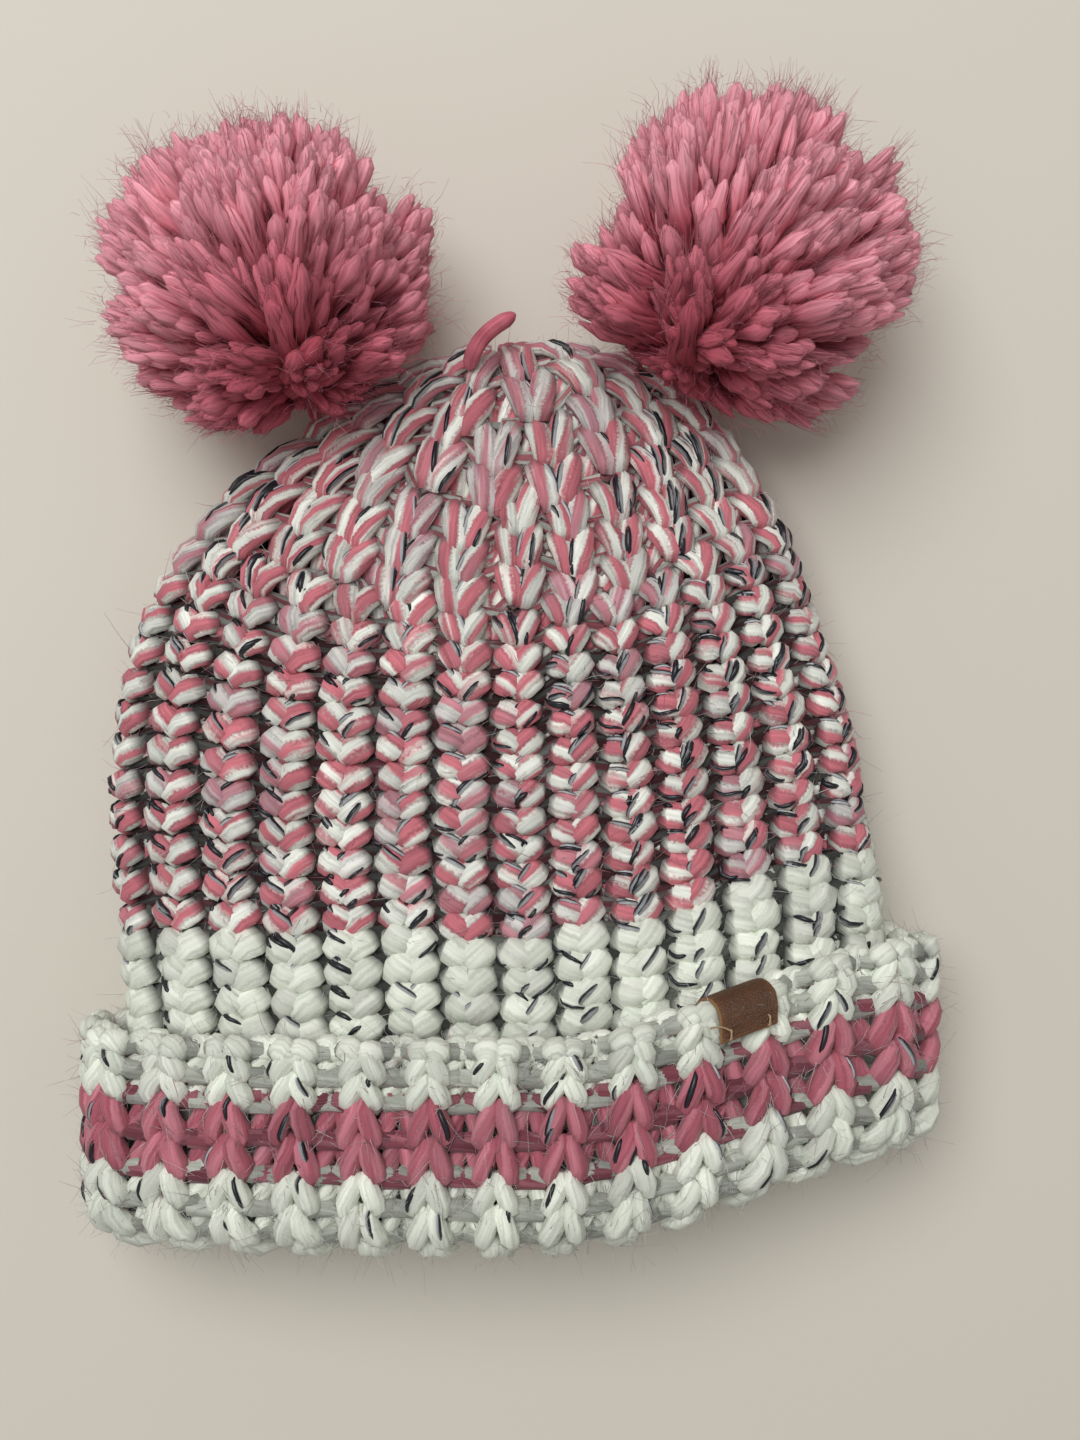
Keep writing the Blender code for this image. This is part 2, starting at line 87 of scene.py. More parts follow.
def fabricPoint(turn, rowY, out):
    # power ellipse at height rowY, narrowed toward the crown, moved outward, lower right pushed up
    turn, rowY, out = np.broadcast_arrays(np.asarray(turn, float), rowY, out)
    across, upward = section(np.interp(turn % 1.0, turnShares, turnAngles))
    crown = np.clip((rowY - tube["shoulderY"]) / tube["crownRise"], 0.0, 1.0)
    leftPower, leftRoot = tube["leftShoulder"]
    rightPower, rightRoot = tube["rightShoulder"]
    leftShare = (1.0 - crown**leftPower) ** (1.0 / leftRoot)
    rightShare = (1.0 - crown**rightPower) ** (1.0 / rightRoot)
    heightShare = (1.0 - crown ** tube["crownFlatness"]) ** (1.0 / tube["crownFlatness"])

    inCuff = 1.0 - smoothStep(rowY, tube["cuffTopY"], tube["shoulderY"])
    leftWidth = tube["leftHalfWidth"] + (tube["cuffHalfWidth"] - tube["leftHalfWidth"]) * inCuff
    rightWidth = tube["rightHalfWidth"] + (tube["cuffHalfWidth"] - tube["rightHalfWidth"]) * inCuff
    halfWidth = np.where(across < 0.0, (leftWidth + out) * leftShare, (rightWidth + out) * rightShare)
    centreX = tube["centreX"] + (tube["cuffCentreX"] - tube["centreX"]) * inCuff

    back = tube["backZ"] + tube["cuffOffset"] * inCuff
    drop = tube["crownDrop"] * smoothStep(crown, tube["crownDropStart"], 1.0)
    front = tube["frontZ"] + tube["cuffFrontRaise"] * inCuff - drop
    x = centreX + across * halfWidth
    y = rowY + out * crown
    lifted = 1.0 - smoothStep(y, tube["riseFullY"], tube["riseNoneY"])
    y = y + tube["rise"] * smoothStep(x, tube["riseFromX"], tube["riseToX"]) * lifted
    z = (front + back) / 2.0 + upward * ((front - back) / 2.0 + out) * heightShare
    return np.stack([x, y, z], axis=-1)


# Courses of knitting, counted from the cast-on edge: down the cuff, round the fold, up to the crown
courses = {
    "edge": (0, 2), "pink": (2, 4), "lowerWhite": (4, 8), "band": (8, 18), "marl": (18, 37),
    "counts": (-1.0, 0.0, 2.0, 4.0, 8.0, 18.0), "lengths": (-0.0044, 0.0015, 0.0132, 0.0309, 0.0617, 0.1268),
    "longer": 0.55, "longerFrom": 28.0, "longerTo": 34.0,  # the crown's stitches are longer
    "topShare": 0.985,
}
cuffLength = tube["cuffTopY"] - tube["foldY"]
foldRadius = tube["cuffOffset"] / 2.0


def makeRowTable():
    # along each column, the marl courses share out the arc length from the colour line to the crown
    first, last = courses["marl"]
    counts = np.linspace(first, last, (last - first) * 8 + 1)
    steps = 1.0 + courses["longer"] * smoothStep(counts, courses["longerFrom"], courses["longerTo"])
    share = np.concatenate([[0.0], np.cumsum((steps[1:] + steps[:-1]) / 2.0)])
    share = share / share[-1] * courses["topShare"]
    turns = np.arange(225) / 224.0
    straight = np.linspace(tube["colourLineY"], tube["shoulderY"], 60, endpoint=False)
    curved = tube["shoulderY"] + tube["crownRise"] * np.sin(np.radians(np.linspace(0.0, 87.5, 340)))
    rowY = np.concatenate([straight, curved])
    places = fabricPoint(turns[:, None], rowY[None, :], 0.0)
    steps = np.linalg.norm(np.diff(places, axis=1), axis=2)
    arc = np.concatenate([np.zeros((len(turns), 1)), np.cumsum(steps, axis=1)], axis=1)
    return counts, np.array([np.interp(share * one[-1], one, rowY) for one in arc])


rowCounts, rowTable = makeRowTable()


def lookUp(table, turn, course):
    # value of a table of (turn, course) between its entries
    place = (np.asarray(turn) % 1.0) * (table.shape[0] - 1)
    step = (np.clip(course, rowCounts[0], rowCounts[-1]) - rowCounts[0]) / (rowCounts[1] - rowCounts[0])
    i = np.clip(place.astype(int), 0, table.shape[0] - 2)
    k = np.clip(step.astype(int), 0, table.shape[1] - 2)
    a, b = place - i, step - k
    low = table[i, k] * (1.0 - b) + table[i, k + 1] * b
    high = table[i + 1, k] * (1.0 - b) + table[i + 1, k + 1] * b
    return low * (1.0 - a) + high * a


def fabricAlong(turn, course, depth):
    # point of the fabric: course counts from the cast-on edge, depth from the middle of the wall
    turn, course, depth = np.broadcast_arrays(np.asarray(turn, float), course, depth)
    length = np.interp(course, courses["counts"], courses["lengths"])
    fold = np.clip((length - cuffLength) / foldRadius, 0.0, math.pi)
    straight = np.maximum(cuffLength - length, 0.0)
    straight = straight + np.maximum(length - cuffLength - math.pi * foldRadius, 0.0)
    rowY = tube["foldY"] + straight - (foldRadius - depth) * np.sin(fold)
    rowY = np.where(course < courses["marl"][0], rowY, lookUp(rowTable, turn, course))
    return fabricPoint(turn, rowY, foldRadius + (foldRadius - depth) * np.cos(fold))


def makePitchTable():
    # distance between neighbouring columns, measured square to the column
    turns = np.arange(225) / 224.0
    counts = np.minimum(rowCounts, rowCounts[-1] - 0.02)
    side, rise = 0.25 / tube["columns"], 0.2
    spread = fabricAlong(turns[:, None] + side, counts, 0.0) - fabricAlong(turns[:, None] - side, counts, 0.0)
    climb = fabricAlong(turns[:, None], counts + rise, 0.0) - fabricAlong(turns[:, None], counts - rise, 0.0)
    area = np.linalg.norm(np.cross(spread, climb), axis=2)
    return 2.0 * area / np.maximum(np.linalg.norm(climb, axis=2), 1e-6)


pitchTable = makePitchTable()
print("fabric laid out,", courses["marl"][1], "courses of", tube["columns"], "ribs")


def smoothNoise(chance, rows, count, step):
    # closed rows of random values, one each step, with a smooth curve between them
    knots = max(count // step, 2)
    values = chance.random((rows, knots))
    place = np.arange(count) * knots / count
    first = place.astype(int)
    share = smoothStep(place - first, 0.0, 1.0)
    return values[:, first % knots] * (1.0 - share) + values[:, (first + 1) % knots] * share


def sweep(path, up, radius, angles, reach, phase=0.0, flat=1.0, closed=False):
    # profile carried along paths: point = path + radius * reach * (normal cos + flat * side sin)
    if closed:
        along = np.roll(path, -1, axis=1) - np.roll(path, 1, axis=1)
    else:
        along = np.gradient(path, axis=1)
    along = unit(along)
    normal = unit(up - along * np.sum(up * along, axis=2, keepdims=True))
    side = np.cross(along, normal)
    turn = np.asarray(phase)[..., None] + angles
    size = (radius[..., None] * reach)[..., None]
    flat = np.asarray(flat)[..., None, None] if np.ndim(flat) else flat
    rim = normal[:, :, None] * np.cos(turn)[..., None] + flat * side[:, :, None] * np.sin(turn)[..., None]
    return path[:, :, None] + size * rim, along, normal, side


def gridFaces(strands, rings, sides, closed):
    # quads between neighbouring rings, and for open strands a cap at each end
    index = np.arange(strands * rings * sides).reshape(strands, rings, sides)
    around = np.roll(index, -1, axis=2)
    if closed:
        far, farAround = np.roll(index, -1, axis=1), np.roll(around, -1, axis=1)
        near, nearAround = index, around
    else:
        far, farAround = index[:, 1:], around[:, 1:]
        near, nearAround = index[:, :-1], around[:, :-1]
    quads = np.stack([near, nearAround, farAround, far], axis=-1).reshape(-1, 4)
    caps = [] if closed else [index[:, 0, ::-1], index[:, -1]]
    return [quads] + caps


def gridMap(length, sides, closed):
    # strand map in the order of gridFaces: U is the length along the strand in centimetres, V goes round
    rings = length.shape[1]
    if closed:
        nextLength = np.concatenate([length[:, 1:], 2.0 * length[:, -1:] - length[:, -2:-1]], axis=1)
        near, far = length, nextLength
    else:
        near, far = length[:, :-1], length[:, 1:]
    v = np.arange(sides) / sides
    shape = (*near.shape, sides)
    corners = [(near, v), (near, v + 1.0 / sides), (far, v + 1.0 / sides), (far, v)]
    quads = [np.stack([np.broadcast_to(u[..., None], shape), np.broadcast_to(w, shape)], -1) for u, w in corners]
    maps = [np.stack(quads, axis=3).reshape(-1, 2)]
    if not closed:
        for ring, order in ((0, v[::-1]), (rings - 1, v)):
            ends = np.broadcast_to(length[:, ring, None], (len(length), sides))
            maps.append(np.stack([ends, np.broadcast_to(order, ends.shape)], -1).reshape(-1, 2))
    return np.concatenate(maps)


def addMesh(name, points, faces, material, tint=None, strandMap=None):
    # whole arrays into a mesh: points, groups of equal faces, a colour for each point, a map
    mesh = bpy.data.meshes.new(name)
    corners = np.concatenate([group.ravel() for group in faces]).astype(np.int32)
    sizes = np.concatenate([np.full(len(group), group.shape[1]) for group in faces])
    starts = np.concatenate([[0], np.cumsum(sizes)[:-1]]).astype(np.int32)
    mesh.vertices.add(points.size // 3)
    mesh.vertices.foreach_set("co", np.ascontiguousarray(points, np.float32).ravel())
    mesh.loops.add(len(corners))
    mesh.loops.foreach_set("vertex_index", corners)
    mesh.polygons.add(len(sizes))
    mesh.polygons.foreach_set("loop_start", starts)
    mesh.polygons.foreach_set("use_smooth", np.ones(len(sizes), bool))
    if tint is not None:
        layer = mesh.color_attributes.new("tint", "FLOAT_COLOR", "POINT")
        colours = np.ones((points.size // 3, 4), np.float32)
        colours[:, :3] = tint.reshape(-1, 3)
        layer.data.foreach_set("color", colours.ravel())
    if strandMap is not None:
        layer = mesh.uv_layers.new(name="strand")
        layer.uv.foreach_set("vector", strandMap.astype(np.float32).ravel())
    mesh.update(calc_edges=True)
    mesh.validate()
    mesh.materials.append(material)
    piece = bpy.data.objects.new(name, mesh)
    bpy.context.scene.collection.objects.link(piece)
    return piece


def place(piece, body, slot, *nodes):
    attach(piece, body)
    if nodes:
        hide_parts(*nodes)
    return piece


def strandLength(path):
    steps = np.linalg.norm(np.diff(path, axis=1), axis=2)
    return np.concatenate([np.zeros((len(path), 1)), np.cumsum(steps, axis=1)], axis=1)


def addStrands(name, path, up, radius, material, sides, tint):
    # open strands of round section, capped at both ends
    angles = np.arange(sides) * 2.0 * math.pi / sides
    points = sweep(path, up, radius, angles, np.ones(sides))[0]
    points[..., 2] = np.maximum(points[..., 2], 0.0)
    strands, rings = path.shape[:2]
    colours = np.broadcast_to(tint[:, :, None, :], (strands, rings, sides, 3))
    strandMap = gridMap(strandLength(path) * 100.0, sides, False)
    return addMesh(name, points, gridFaces(strands, rings, sides, False), material, colours, strandMap)


def link(tree, start, end):
    tree.links.new(start, end)


def mixColour(tree, first, second, amount, mode="MIX"):
    node = tree.nodes.new("ShaderNodeMix")
    node.data_type = "RGBA"
    node.blend_type = mode
    for socket, value in ((node.inputs[6], first), (node.inputs[7], second), (node.inputs[0], amount)):
        if hasattr(value, "is_linked"):
            link(tree, value, socket)
        elif isinstance(value, tuple):
            socket.default_value = (*value, 1.0)
        else:
            socket.default_value = value
    return node.outputs[2]


def sums(tree, operation, first, second):
    node = tree.nodes.new("ShaderNodeMath")
    node.operation = operation
    for socket, value in zip(node.inputs, (first, second)):
        if hasattr(value, "is_linked"):
            link(tree, value, socket)
        else:
            socket.default_value = value
    return node.outputs[0]


def makeFibreGroup():
    # fibres along a strand: two layers of noise, stretched along the strand map's U
    group = bpy.data.node_groups.new("fibre streaks", "ShaderNodeTree")
    for name, kind in (("Strand", "NodeSocketVector"), ("Along", "NodeSocketFloat"), ("Around", "NodeSocketFloat")):
        group.interface.new_socket(name, in_out="INPUT", socket_type=kind)
    for name in ("Streak", "Patch", "Height"):
        group.interface.new_socket(name, in_out="OUTPUT", socket_type="NodeSocketFloat")
    start, end = group.nodes.new("NodeGroupInput"), group.nodes.new("NodeGroupOutput")
    scale = group.nodes.new("ShaderNodeCombineXYZ")
    link(group, start.outputs["Along"], scale.inputs[0])
    link(group, start.outputs["Around"], scale.inputs[1])
    stretch = group.nodes.new("ShaderNodeVectorMath")
    stretch.operation = "MULTIPLY"
    link(group, start.outputs["Strand"], stretch.inputs[0])
    link(group, scale.outputs[0], stretch.inputs[1])
    fine = group.nodes.new("ShaderNodeTexNoise")
    fine.inputs["Scale"].default_value = 1.0
    fine.inputs["Detail"].default_value = 3.0
    link(group, stretch.outputs[0], fine.inputs["Vector"])
    coarse = group.nodes.new("ShaderNodeTexNoise")
    coarse.inputs["Scale"].default_value = 0.35
    coarse.inputs["Detail"].default_value = 1.0
    link(group, stretch.outputs[0], coarse.inputs["Vector"])
    link(group, fine.outputs["Fac"], end.inputs["Streak"])
    link(group, coarse.outputs["Fac"], end.inputs["Patch"])
    link(group, sums(group, "MULTIPLY", fine.outputs["Fac"], coarse.outputs["Fac"]), end.inputs["Height"])
    return group


fibreGroup = makeFibreGroup()


def makePlyGroup():
    # plies lie side by side round the yarn: stripes follow cos(pi V plies), and noise on the yarn drifts them
    group = bpy.data.node_groups.new("ply stripes", "ShaderNodeTree")
    group.interface.new_socket("Strand", in_out="INPUT", socket_type="NodeSocketVector")
    for name in ("Plies", "Contrast", "Drift"):
        group.interface.new_socket(name, in_out="INPUT", socket_type="NodeSocketFloat")
    for name in ("Value", "CreaseShade"):
        group.interface.new_socket(name, in_out="OUTPUT", socket_type="NodeSocketFloat")
    start, end = group.nodes.new("NodeGroupInput"), group.nodes.new("NodeGroupOutput")
    axes = group.nodes.new("ShaderNodeSeparateXYZ")
    link(group, start.outputs["Strand"], axes.inputs[0])
    ragged = group.nodes.new("ShaderNodeTexNoise")  # the plies' edges are ragged with fibre
    ragged.inputs["Scale"].default_value = 20.0
    link(group, start.outputs["Strand"], ragged.inputs["Vector"])
    around = sums(group, "MULTIPLY_ADD", axes.outputs[1], start.outputs["Plies"])
    link(group, sums(group, "MULTIPLY", sums(group, "SUBTRACT", ragged.outputs["Fac"], 0.5), 0.5), around.node.inputs[2])
    stripe = sums(group, "COSINE", sums(group, "MULTIPLY", around, math.pi), 0.0)
    # painted shade: this output darkens each ply toward its edges, as if the creases between plies were in shade
    crest = sums(group, "MINIMUM", sums(group, "MULTIPLY", sums(group, "ABSOLUTE", stripe, 0.0), 1.8), 1.0)
    turn = sums(group, "MULTIPLY", axes.outputs[1], 2.0 * math.pi)
    where = group.nodes.new("ShaderNodeCombineXYZ")
    link(group, sums(group, "MULTIPLY", axes.outputs[0], 0.7), where.inputs[0])
    link(group, sums(group, "MULTIPLY", sums(group, "COSINE", turn, 0.0), 1.4), where.inputs[1])
    link(group, sums(group, "MULTIPLY", sums(group, "SINE", turn, 0.0), 1.4), where.inputs[2])
    own = group.nodes.new("ShaderNodeTexNoise")
    own.inputs["Scale"].default_value = 1.0
    own.inputs["Detail"].default_value = 1.0
    link(group, where.outputs[0], own.inputs["Vector"])
    value = sums(group, "MULTIPLY", stripe, start.outputs["Contrast"])
    value = sums(group, "ADD", value, sums(group, "MULTIPLY", sums(group, "SUBTRACT", own.outputs["Fac"], 0.5), 2.4))
    value = sums(group, "ADD", value, start.outputs["Drift"])
    sharp = group.nodes.new("ShaderNodeMapRange")
    sharp.interpolation_type = "SMOOTHSTEP"
    sharp.inputs["From Min"].default_value = -0.35
    sharp.inputs["From Max"].default_value = 0.35
    link(group, value, sharp.inputs["Value"])
    link(group, sharp.outputs["Result"], end.inputs["Value"])
    link(group, crest, end.inputs["CreaseShade"])
    return group


plyGroup = makePlyGroup()


def newMaterial(name):
    material = bpy.data.materials.new(name)
    material.use_nodes = True
    return material, material.node_tree, material.node_tree.nodes["Principled BSDF"]


def strandMaterial(name, look):
    # tint red mixes first to second colour, or drifts the plies' colours; green adds haze, blue is shade
    material, tree, shader = newMaterial(name)
    tint = tree.nodes.new("ShaderNodeAttribute")
    tint.attribute_name = "tint"
    parts = tree.nodes.new("ShaderNodeSeparateColor")
    link(tree, tint.outputs["Color"], parts.inputs[0])
    strand = tree.nodes.new("ShaderNodeUVMap")
    strand.uv_map = "strand"
    fibres = tree.nodes.new("ShaderNodeGroup")
    fibres.node_tree = fibreGroup
    fibres.inputs["Along"].default_value = look["along"]
    fibres.inputs["Around"].default_value = look["around"]
    link(tree, strand.outputs[0], fibres.inputs["Strand"])
    amount, crest = parts.outputs[0], 1.0
    if "plies" in look:
        plies = tree.nodes.new("ShaderNodeGroup")
        plies.node_tree = plyGroup
        plies.inputs["Plies"].default_value = look["plies"]
        plies.inputs["Contrast"].default_value = look["contrast"]
        link(tree, strand.outputs[0], plies.inputs["Strand"])
        drift = sums(tree, "MULTIPLY", sums(tree, "SUBTRACT", amount, 0.5), look["drift"])
        link(tree, drift, plies.inputs["Drift"])
        amount = plies.outputs["Value"]
        # painted shade: the plies' edges are darkened as if they lay in the creases between them
        crest = sums(tree, "MULTIPLY_ADD", plies.outputs["CreaseShade"], look["creaseShade"])
        crest.node.inputs[2].default_value = 1.0 - look["creaseShade"]
    base = mixColour(tree, look["first"], look["second"], amount)
    hazeAmount = sums(tree, "MULTIPLY", parts.outputs[1], fibres.outputs["Patch"])
    base = mixColour(tree, base, look["haze"], hazeAmount)
    streak = sums(tree, "MULTIPLY_ADD", fibres.outputs["Streak"], look["streak"])
    streak.node.inputs[2].default_value = 1.0 - look["streak"] / 2.0
    shade = sums(tree, "MULTIPLY_ADD", parts.outputs[2], look["shade"])
    shade.node.inputs[2].default_value = 1.0 - look["shade"] / 2.0
    light = sums(tree, "MULTIPLY", sums(tree, "MULTIPLY", streak, shade), crest)
    grey = tree.nodes.new("ShaderNodeCombineColor")
    for socket in grey.inputs:
        link(tree, light, socket)
    base = mixColour(tree, base, grey.outputs[0], 1.0, "MULTIPLY")
    link(tree, base, shader.inputs["Base Color"])
    rough = sums(tree, "MULTIPLY_ADD", fibres.outputs["Streak"], 0.2)
    rough.node.inputs[2].default_value = look["roughness"] - 0.1
    link(tree, rough, shader.inputs["Roughness"])
    bump = tree.nodes.new("ShaderNodeBump")
    bump.inputs["Strength"].default_value = look["bump"]
    bump.inputs["Distance"].default_value = 0.0004
    link(tree, fibres.outputs["Height"], bump.inputs["Height"])
    link(tree, bump.outputs[0], shader.inputs["Normal"])
    shader.inputs["Sheen Weight"].default_value = look["sheen"]
    shader.inputs["Sheen Roughness"].default_value = 0.5
    shader.inputs["Specular IOR Level"].default_value = look["specular"]
    return material


softLook = {"along": 1.4, "around": 22.0, "streak": 1.1, "shade": 0.35, "roughness": 0.9,
            "bump": 0.8, "sheen": 0.15, "specular": 0.2, "haze": (0.42, 0.34, 0.38)}
# the strength of the plies' painted crease shade is set here, lighter for the white and rose yarns
plied = {**softLook, "plies": 6.0, "contrast": 0.55, "drift": 0.7, "creaseShade": 0.30}
marlYarn = strandMaterial("marl yarn", {**plied, "first": (0.80, 0.82, 0.75), "second": (0.58, 0.175, 0.21)})
whiteYarn = strandMaterial("white yarn", {
    **plied, "first": (0.73, 0.77, 0.67), "second": (0.81, 0.85, 0.75), "creaseShade": 0.18, "streak": 0.7})
roseYarn = strandMaterial("rose yarn", {
    **plied, "first": (0.40, 0.11, 0.145), "second": (0.54, 0.19, 0.235), "creaseShade": 0.18, "streak": 0.8})
# the pom pom yarn's deep crimson first colour serves as painted shade at the strands' roots and in the gaps between
# them
tuftYarn = strandMaterial("pom pom yarn", {
    **softLook, "first": (0.22, 0.013, 0.024), "second": (0.72, 0.19, 0.255), "haze": (0.90, 0.46, 0.53),
    "along": 0.9, "around": 16.0, "streak": 1.6, "bump": 1.0, "sheen": 0.04, "specular": 0.12})
threadYarn = strandMaterial("tan thread", {**softLook, "first": (0.30, 0.19, 0.10), "second": (0.52, 0.36, 0.20)})
# the black filament's silver second colour is a painted highlight, laid on one edge of the dashes
filament = strandMaterial("black filament", {
    **softLook, "first": (0.008, 0.010, 0.016), "second": (0.75, 0.77, 0.80), "haze": (0.02, 0.02, 0.03),
    "roughness": 0.35, "specular": 0.6, "sheen": 0.0, "bump": 0.1, "streak": 0.2})
fuzzYarn = strandMaterial("yarn fuzz", {
    **softLook, "first": (0.80, 0.79, 0.74), "second": (0.62, 0.26, 0.30), "haze": (0.40, 0.33, 0.38)})
print("yarn materials made")

# Path of one stitch: (across in rib widths, along in courses, depth in knit depths, width, thickness)
knit = {
    "depth": 0.0030, "plies": 6, "twistPitch": 0.075, "seed": 11, "fullDepth": 0.0056,
    "places": (0.0, 1.0, 1.6, 2.2, 2.9, 3.6, 4.3, 5.2, 8.8, 9.7, 10.4, 11.1, 11.8, 12.4, 13.0),
    "underTag": (0.0570, 0.0105, 0.0075, 0.17),
    "radiusAt": (0.0, 4.0, 8.0, 10.0, 28.0, 33.0, 37.0),
    "radius": (0.0031, 0.0031, 0.0031, 0.0036, 0.0036, 0.0035, 0.0033),
    "pitchShare": 0.235, "leastRadius": 0.0021,
    "narrowTo": (7.0, 9.0), "crownFrom": (26.0, 31.0),
    "valleyReach": 0.90, "ribShift": 0.55,
    "cuff": (
        (-0.25, 0.05, 0.00, 0.95, 0.85), (-0.10, 0.00, 0.15, 0.90, 0.80), (-0.07, 0.16, 0.72, 0.82, 0.92),
        (-0.14, 0.52, 0.90, 0.84, 1.00), (-0.21, 0.90, 0.60, 0.84, 1.00), (-0.20, 1.10, 0.15, 0.90, 0.85),
        (-0.12, 1.16, -0.05, 0.95, 0.85), (0.00, 1.18, -0.12, 0.95, 0.85), (0.12, 1.16, -0.05, 0.95, 0.85),
        (0.20, 1.10, 0.15, 0.90, 0.85), (0.21, 0.90, 0.60, 0.84, 1.00), (0.14, 0.52, 0.90, 0.84, 1.00),
        (0.07, 0.16, 0.72, 0.82, 0.92), (0.10, 0.00, 0.15, 0.90, 0.80),
    ),
    "body": (
        (-0.25, 0.15, -0.20, 0.90, 0.40), (-0.08, 0.06, 0.05, 0.90, 0.50), (-0.050, 0.18, 0.76, 1.10, 0.95),
        (-0.160, 0.42, 0.95, 1.20, 1.02), (-0.265, 0.66, 0.42, 1.28, 1.00), (-0.320, 0.80, -0.20, 1.15, 0.72),
        (-0.20, 1.00, -0.20, 0.90, 0.42), (0.00, 1.04, -0.10, 0.90, 0.40), (0.20, 0.98, -0.20, 0.90, 0.42),
        (0.320, 0.64, -0.20, 1.15, 0.72), (0.265, 0.56, 0.42, 1.28, 1.00), (0.160, 0.47, 0.95, 1.22, 1.04),
        (0.050, 0.38, 0.78, 1.15, 0.98), (0.06, 0.20, 0.05, 0.90, 0.50),
    ),
    "crown": (
        (-0.25, 0.10, -0.20, 0.90, 0.45), (-0.10, -0.06, 0.05, 0.90, 0.60), (-0.090, 0.10, 0.84, 1.02, 0.96),
        (-0.180, 0.62, 0.90, 1.08, 1.04), (-0.270, 1.12, 0.34, 1.06, 0.98), (-0.300, 1.34, -0.20, 0.95, 0.72),
        (-0.16, 1.42, -0.20, 0.90, 0.45), (0.00, 1.42, -0.10, 0.90, 0.42), (0.16, 1.42, -0.20, 0.90, 0.45),
        (0.300, 1.34, -0.20, 0.95, 0.72), (0.270, 1.12, 0.34, 1.06, 0.98), (0.180, 0.62, 0.90, 1.08, 1.04),
        (0.090, 0.10, 0.84, 1.02, 0.96), (0.10, -0.06, 0.05, 0.90, 0.60),
    ),
    "castOn": (
        (-0.25, 1.30, -0.40, 0.90, 0.45), (-0.225, 1.20, 0.10, 0.95, 0.70), (-0.20, 1.02, 0.50, 1.00, 0.96),
        (-0.14, 0.92, 0.76, 1.00, 1.04), (-0.09, 0.94, 0.78, 1.00, 1.04), (-0.05, 1.06, 0.70, 1.00, 1.00),
        (-0.02, 1.20, 0.50, 0.90, 0.86), (0.00, 1.26, 0.42, 0.90, 0.80), (0.02, 1.20, 0.50, 0.90, 0.86),
        (0.05, 1.06, 0.70, 1.00, 1.00), (0.09, 0.94, 0.78, 1.00, 1.04), (0.14, 0.92, 0.76, 1.00, 1.04),
        (0.20, 1.02, 0.50, 1.00, 0.96), (0.225, 1.20, 0.10, 0.95, 0.70),
    ),
}
stitchSamples = len(knit["places"])


def stitchCurve(style):
    # a smooth curve through the points of a knit stitch and of the purl stitch, its mirror in depth
    points = np.array(knit[style])
    purl = points * (1.0, 1.0, -1.0, 1.0, 1.0) + (0.5, 0.0, 0.0, 0.0, 0.0)
    pair = np.concatenate([points, purl])
    shift = np.array((1.0, 0.0, 0.0, 0.0, 0.0))
    ends = np.concatenate([pair[-1:] - shift, pair, pair[:2] + shift])
    place = np.concatenate([knit["places"], np.array(knit["places"]) + len(points)])
    i = place.astype(int)
    t = (place - i)[:, None]
    a, b, c, d = (ends[i + k] for k in range(4))
    return b + 0.5 * t * (c - a + t * (2 * a - 5 * b + 4 * c - d + t * (3 * (b - c) + d - a)))


